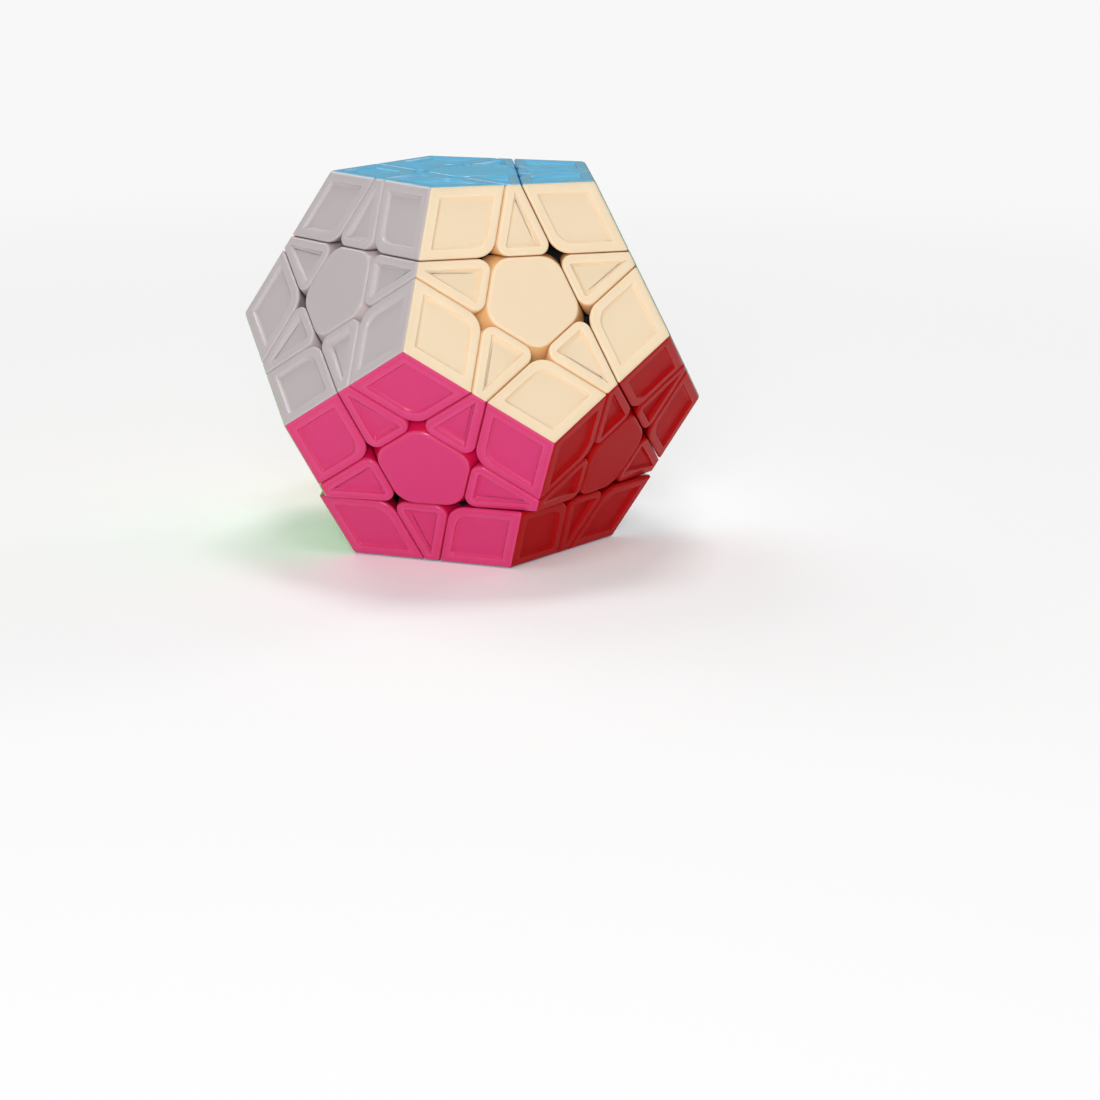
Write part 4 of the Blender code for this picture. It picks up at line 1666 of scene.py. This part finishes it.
@dataclass
class Puzzle:
    """The whole puzzle: makes each piece once, then sets every copy in its place and on its body."""

    shop: Workshop
    shells: dict[Face, bpy.types.Material]
    dark: bpy.types.Material
    steel: bpy.types.Material

    def node_name(self, kind: str, faces: Sequence[Face]) -> str:
        """Give the frame's name for a piece."""
        return "_".join((kind, *(face.value for face in faces)))

    def body_of(self, faces: Sequence[Face]) -> str:
        """Give the body that a piece of these faces turns with.

        Args:
            faces: The piece's faces.

        Returns:
            The body's name.
        """
        for face in faces:
            if f"{face.value}_layer" in frame["bodies"]:
                return f"{face.value}_layer"
        return "core"

    def settle(self, name: str, mesh: bpy.types.Mesh, place: Matrix, material: bpy.types.Material,
               slot: str, body: str, nodes: Sequence[str]) -> None:
        """Set a finished piece in the scene.

        Args:
            name: The piece's name.
            mesh: Its mesh, which is copied.
            place: Matrix from the mesh to its place in the puzzle.
            material: Its finish.
            slot: The record's material slot for the piece; not used.
            body: The body that it rides on.
            nodes: The frame's nodes that it stands for.
        """
        own = mesh.copy()
        own.name = name
        own.transform(place)
        own.materials.clear()
        own.materials.append(material)
        own.polygons.foreach_set("material_index", [0] * len(own.polygons))
        own.shade_smooth()
        own.set_sharp_from_angle(angle=SHARP_ANGLE)
        piece = bpy.data.objects.new(name, own)
        bpy.context.scene.collection.objects.link(piece)
        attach(piece, body)
        if nodes:
            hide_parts(*nodes)
        LOG.info("%s: %d faces on %s", name, len(own.polygons), body)

    def coloured(self, node: str, mesh: bpy.types.Mesh, faces: Sequence[Face], body: str) -> None:
        """Set a shell of an edge or corner piece.

        Args:
            node: The piece's node in the frame.
            mesh: The shell's mesh.
            faces: The piece's faces, with the shell's own face first.
            body: The body that it rides on.
        """
        face = faces[0]
        self.settle(f"{node}_shell_{face.value}", mesh, placing(faces), self.shells[face], face.value, body, [node])

    def corners(self) -> None:
        """Set the twenty corner pieces: an inner piece and three shells each."""
        inner = self.shop.release(InnerPieces(self.shop).corner())
        shell = CornerShells().build(TOP, FRONT, RIGHT)
        for faces in corner_triples():
            node = self.node_name("corner", faces)
            body = self.body_of(faces)
            self.settle(f"{node}_inner", inner, placing(faces), self.dark, "dark_plastic", body, [node])
            for turn in range(3):
                self.coloured(node, shell, faces[turn:] + faces[:turn], body)

    def edges(self) -> None:
        """Set the thirty edge pieces: an inner piece and two shells each."""
        inner = self.shop.release(InnerPieces(self.shop).edge())
        shell = EdgeShells().build(TOP, FRONT)
        for faces in edge_pairs():
            node = self.node_name("edge", faces)
            body = self.body_of(faces)
            self.settle(f"{node}_inner", inner, placing(faces), self.dark, "dark_plastic", body, [node])
            for around in (faces, faces[::-1]):
                self.coloured(node, shell, around, body)

    def centres(self) -> None:
        """Set the twelve centres: an inner piece and a cap each."""
        inner = self.shop.release(InnerPieces(self.shop).centre())
        cap = CentreCap().build(TOP)
        for face in FACES:
            body = self.body_of([face])
            node = "core_with_nine_centres" if body == "core" else f"centre_{face.value}"
            self.settle(f"centre_{face.value}_inner", inner, placing([face]), self.dark, "dark_plastic",
                        body, [node])
            self.settle(f"centre_{face.value}_cap", cap, placing([face]), self.shells[face], face.value,
                        body, [node])

    def inside(self) -> None:
        """Set the core and its hardware."""
        here = Matrix.Translation(MIDDLE)
        core = Core().build(self.shop, self.dark)
        self.settle("core_spider", core, here, self.dark, "dark_plastic", "core", ["core_with_nine_centres"])
        hardware = Hardware()
        turning = [body.removesuffix("_layer") for body in frame["bodies"] if body != "core"]
        self.settle("screws", hardware.screws(self.steel), here, self.steel, "steel", "core",
                    [f"screw_{name}" for name in turning])
        self.settle("springs", hardware.springs(self.steel), here, self.steel, "steel", "core",
                    [f"spring_{name}" for name in turning])
        self.settle("washers", hardware.washers(self.steel), here, self.steel, "steel", "core", [])


# ---------------------------------------------------------------- studio


BLACK = (0.0, 0.0, 0.0)
PURE_WHITE = (1.0, 1.0, 1.0)


@dataclass(frozen=True)
class Softbox:
    """Square soft light that faces the puzzle."""

    name: str
    place: tuple[float, float, float]
    size: float
    power: float                      # watts

    def hang(self) -> None:
        """Hang the light in its place."""
        data = bpy.data.lights.new(self.name, "AREA")
        data.shape = "SQUARE"
        data.size = self.size
        data.energy = self.power
        lamp = bpy.data.objects.new(self.name, data)
        bpy.context.scene.collection.objects.link(lamp)
        spot = Vector(self.place)
        lamp.matrix_world = Matrix.Translation(spot) @ facing(spot - MIDDLE)


SOFTBOXES = (
    Softbox("front_softbox", (-0.42, -0.98, 0.36), 0.42, 5.9),
    Softbox("key_softbox", (-0.25, -0.60, 1.00), 0.26, 2.0),
    Softbox("top_softbox", (0.12, 0.20, 1.00), 0.34, 2.7),
    Softbox("back_softbox", (-0.25, 0.85, 0.85), 0.55, 2.2),
    Softbox("side_softbox", (0.98, 0.30, 0.45), 0.32, 1.5),
)


@dataclass
class Studio:
    """Camera, floor and lights."""

    lens: float = 89.8                # millimetres
    sensor: float = 36.0              # millimetres
    distance: float = 14.874          # from the puzzle's middle along the view, in inradii
    aside: tuple[float, float] = (-0.412, 1.055)      # of the puzzle's middle, left and down, in inradii
    yaw: float = math.radians(20.91)
    pitch: float = math.radians(14.47)
    roll: float = math.radians(0.4)
    near_clip: float = 0.01
    surround_light: float = 0.26      # how strongly the surround lights the puzzle
    surround_look: float = 0.92       # how bright the surround shows
    floor_reach: float = 3.0
    floor_drop: float = 0.1 * MM      # below the puzzle, so that the two never touch
    floor_colour: tuple[float, float, float] = (0.86, 0.86, 0.86)
    floor_roughness: float = 0.7
    floor_gloss: float = 0.1
    floor_lift: float = 0.16          # glow that keeps the floor pale
    floor_fade: tuple[float, float] = (0.16, 0.60)   # from the puzzle, where the floor turns into the surround

    def camera(self) -> None:
        """Set the camera."""
        turn = (Matrix.Rotation(self.roll, 3, "Y") @ Matrix.Rotation(self.pitch, 3, "X")
                @ Matrix.Rotation(self.yaw, 3, "Z"))
        back = turn.transposed()
        offset = Vector((self.aside[0], self.distance, self.aside[1])) * INRADIUS
        data = bpy.data.cameras.new("camera")
        data.lens = self.lens
        data.sensor_width = self.sensor
        data.clip_start = self.near_clip
        camera = bpy.data.objects.new("camera", data)
        bpy.context.scene.collection.objects.link(camera)
        look = back @ Matrix.Rotation(math.radians(90.0), 3, "X")
        camera.matrix_world = Matrix.Translation(MIDDLE - back @ offset) @ look.to_4x4()
        bpy.context.scene.camera = camera

    def floor(self) -> None:
        """Set the pale floor."""
        shape = bmesh.new()
        bmesh.ops.create_grid(shape, x_segments=1, y_segments=1, size=self.floor_reach)
        mesh = bpy.data.meshes.new("floor")
        shape.to_mesh(mesh)
        shape.free()
        mesh.transform(Matrix.Translation((0.0, 0.0, CAD_BOX[0].z - self.floor_drop)))
        bench = NodeBench("pale_floor")
        shader = bench.shader
        shader.inputs["Roughness"].default_value = self.floor_roughness
        shader.inputs["Specular IOR Level"].default_value = self.floor_gloss
        shader.inputs["Emission Color"].default_value = (*PURE_WHITE, 1.0)
        place = bench.add("TexCoord").outputs["Object"]
        reach = bench.add("VectorMath", operation="LENGTH")
        bench.wire(place, reach.inputs[0])
        far = bench.add("MapRange", interpolation_type="SMOOTHSTEP", From_Min=self.floor_fade[0],
                        From_Max=self.floor_fade[1])
        bench.wire(reach.outputs["Value"], far.inputs["Value"])
        fade = far.outputs["Result"]
        bench.wire(bench.blend(fade, self.floor_colour, BLACK), shader.inputs["Base Color"])
        lift = bench.add("MapRange", To_Min=self.floor_lift, To_Max=self.surround_look)
        bench.wire(fade, lift.inputs["Value"])
        bench.wire(lift.outputs["Result"], shader.inputs["Emission Strength"])
        mesh.materials.append(bench.material)
        floor = bpy.data.objects.new("floor", mesh)
        bpy.context.scene.collection.objects.link(floor)

    def lights(self) -> None:
        """Set the softboxes and the pale surround, which lights the puzzle less than it shows."""
        world = bpy.data.worlds.new("surround")
        world.use_nodes = True
        tree = world.node_tree
        sky = tree.nodes["Background"]
        sky.inputs["Color"].default_value = (*PURE_WHITE, 1.0)
        path = tree.nodes.new("ShaderNodeLightPath")
        level = tree.nodes.new("ShaderNodeMapRange")
        level.inputs["To Min"].default_value = self.surround_light
        level.inputs["To Max"].default_value = self.surround_look
        tree.links.new(path.outputs["Is Camera Ray"], level.inputs["Value"])
        tree.links.new(level.outputs["Result"], sky.inputs["Strength"])
        bpy.context.scene.world = world
        for softbox in SOFTBOXES:
            softbox.hang()

    def build(self) -> None:
        """Set the whole studio."""
        self.camera()
        self.floor()
        self.lights()
        bpy.context.scene.view_settings.view_transform = "Standard"


def main() -> None:
    """Build the puzzle and its studio."""
    logging.basicConfig(level=logging.INFO, format="%(name)s: %(message)s")
    Studio().build()
    materials = {face: finish.material() for face, finish in SHELL_FINISHES.items()}
    puzzle = Puzzle(Workshop(), materials, DARK_FINISH.material(), STEEL_FINISH.material())
    puzzle.corners()
    puzzle.edges()
    puzzle.centres()
    puzzle.inside()


if __name__ == "__main__":
    main()
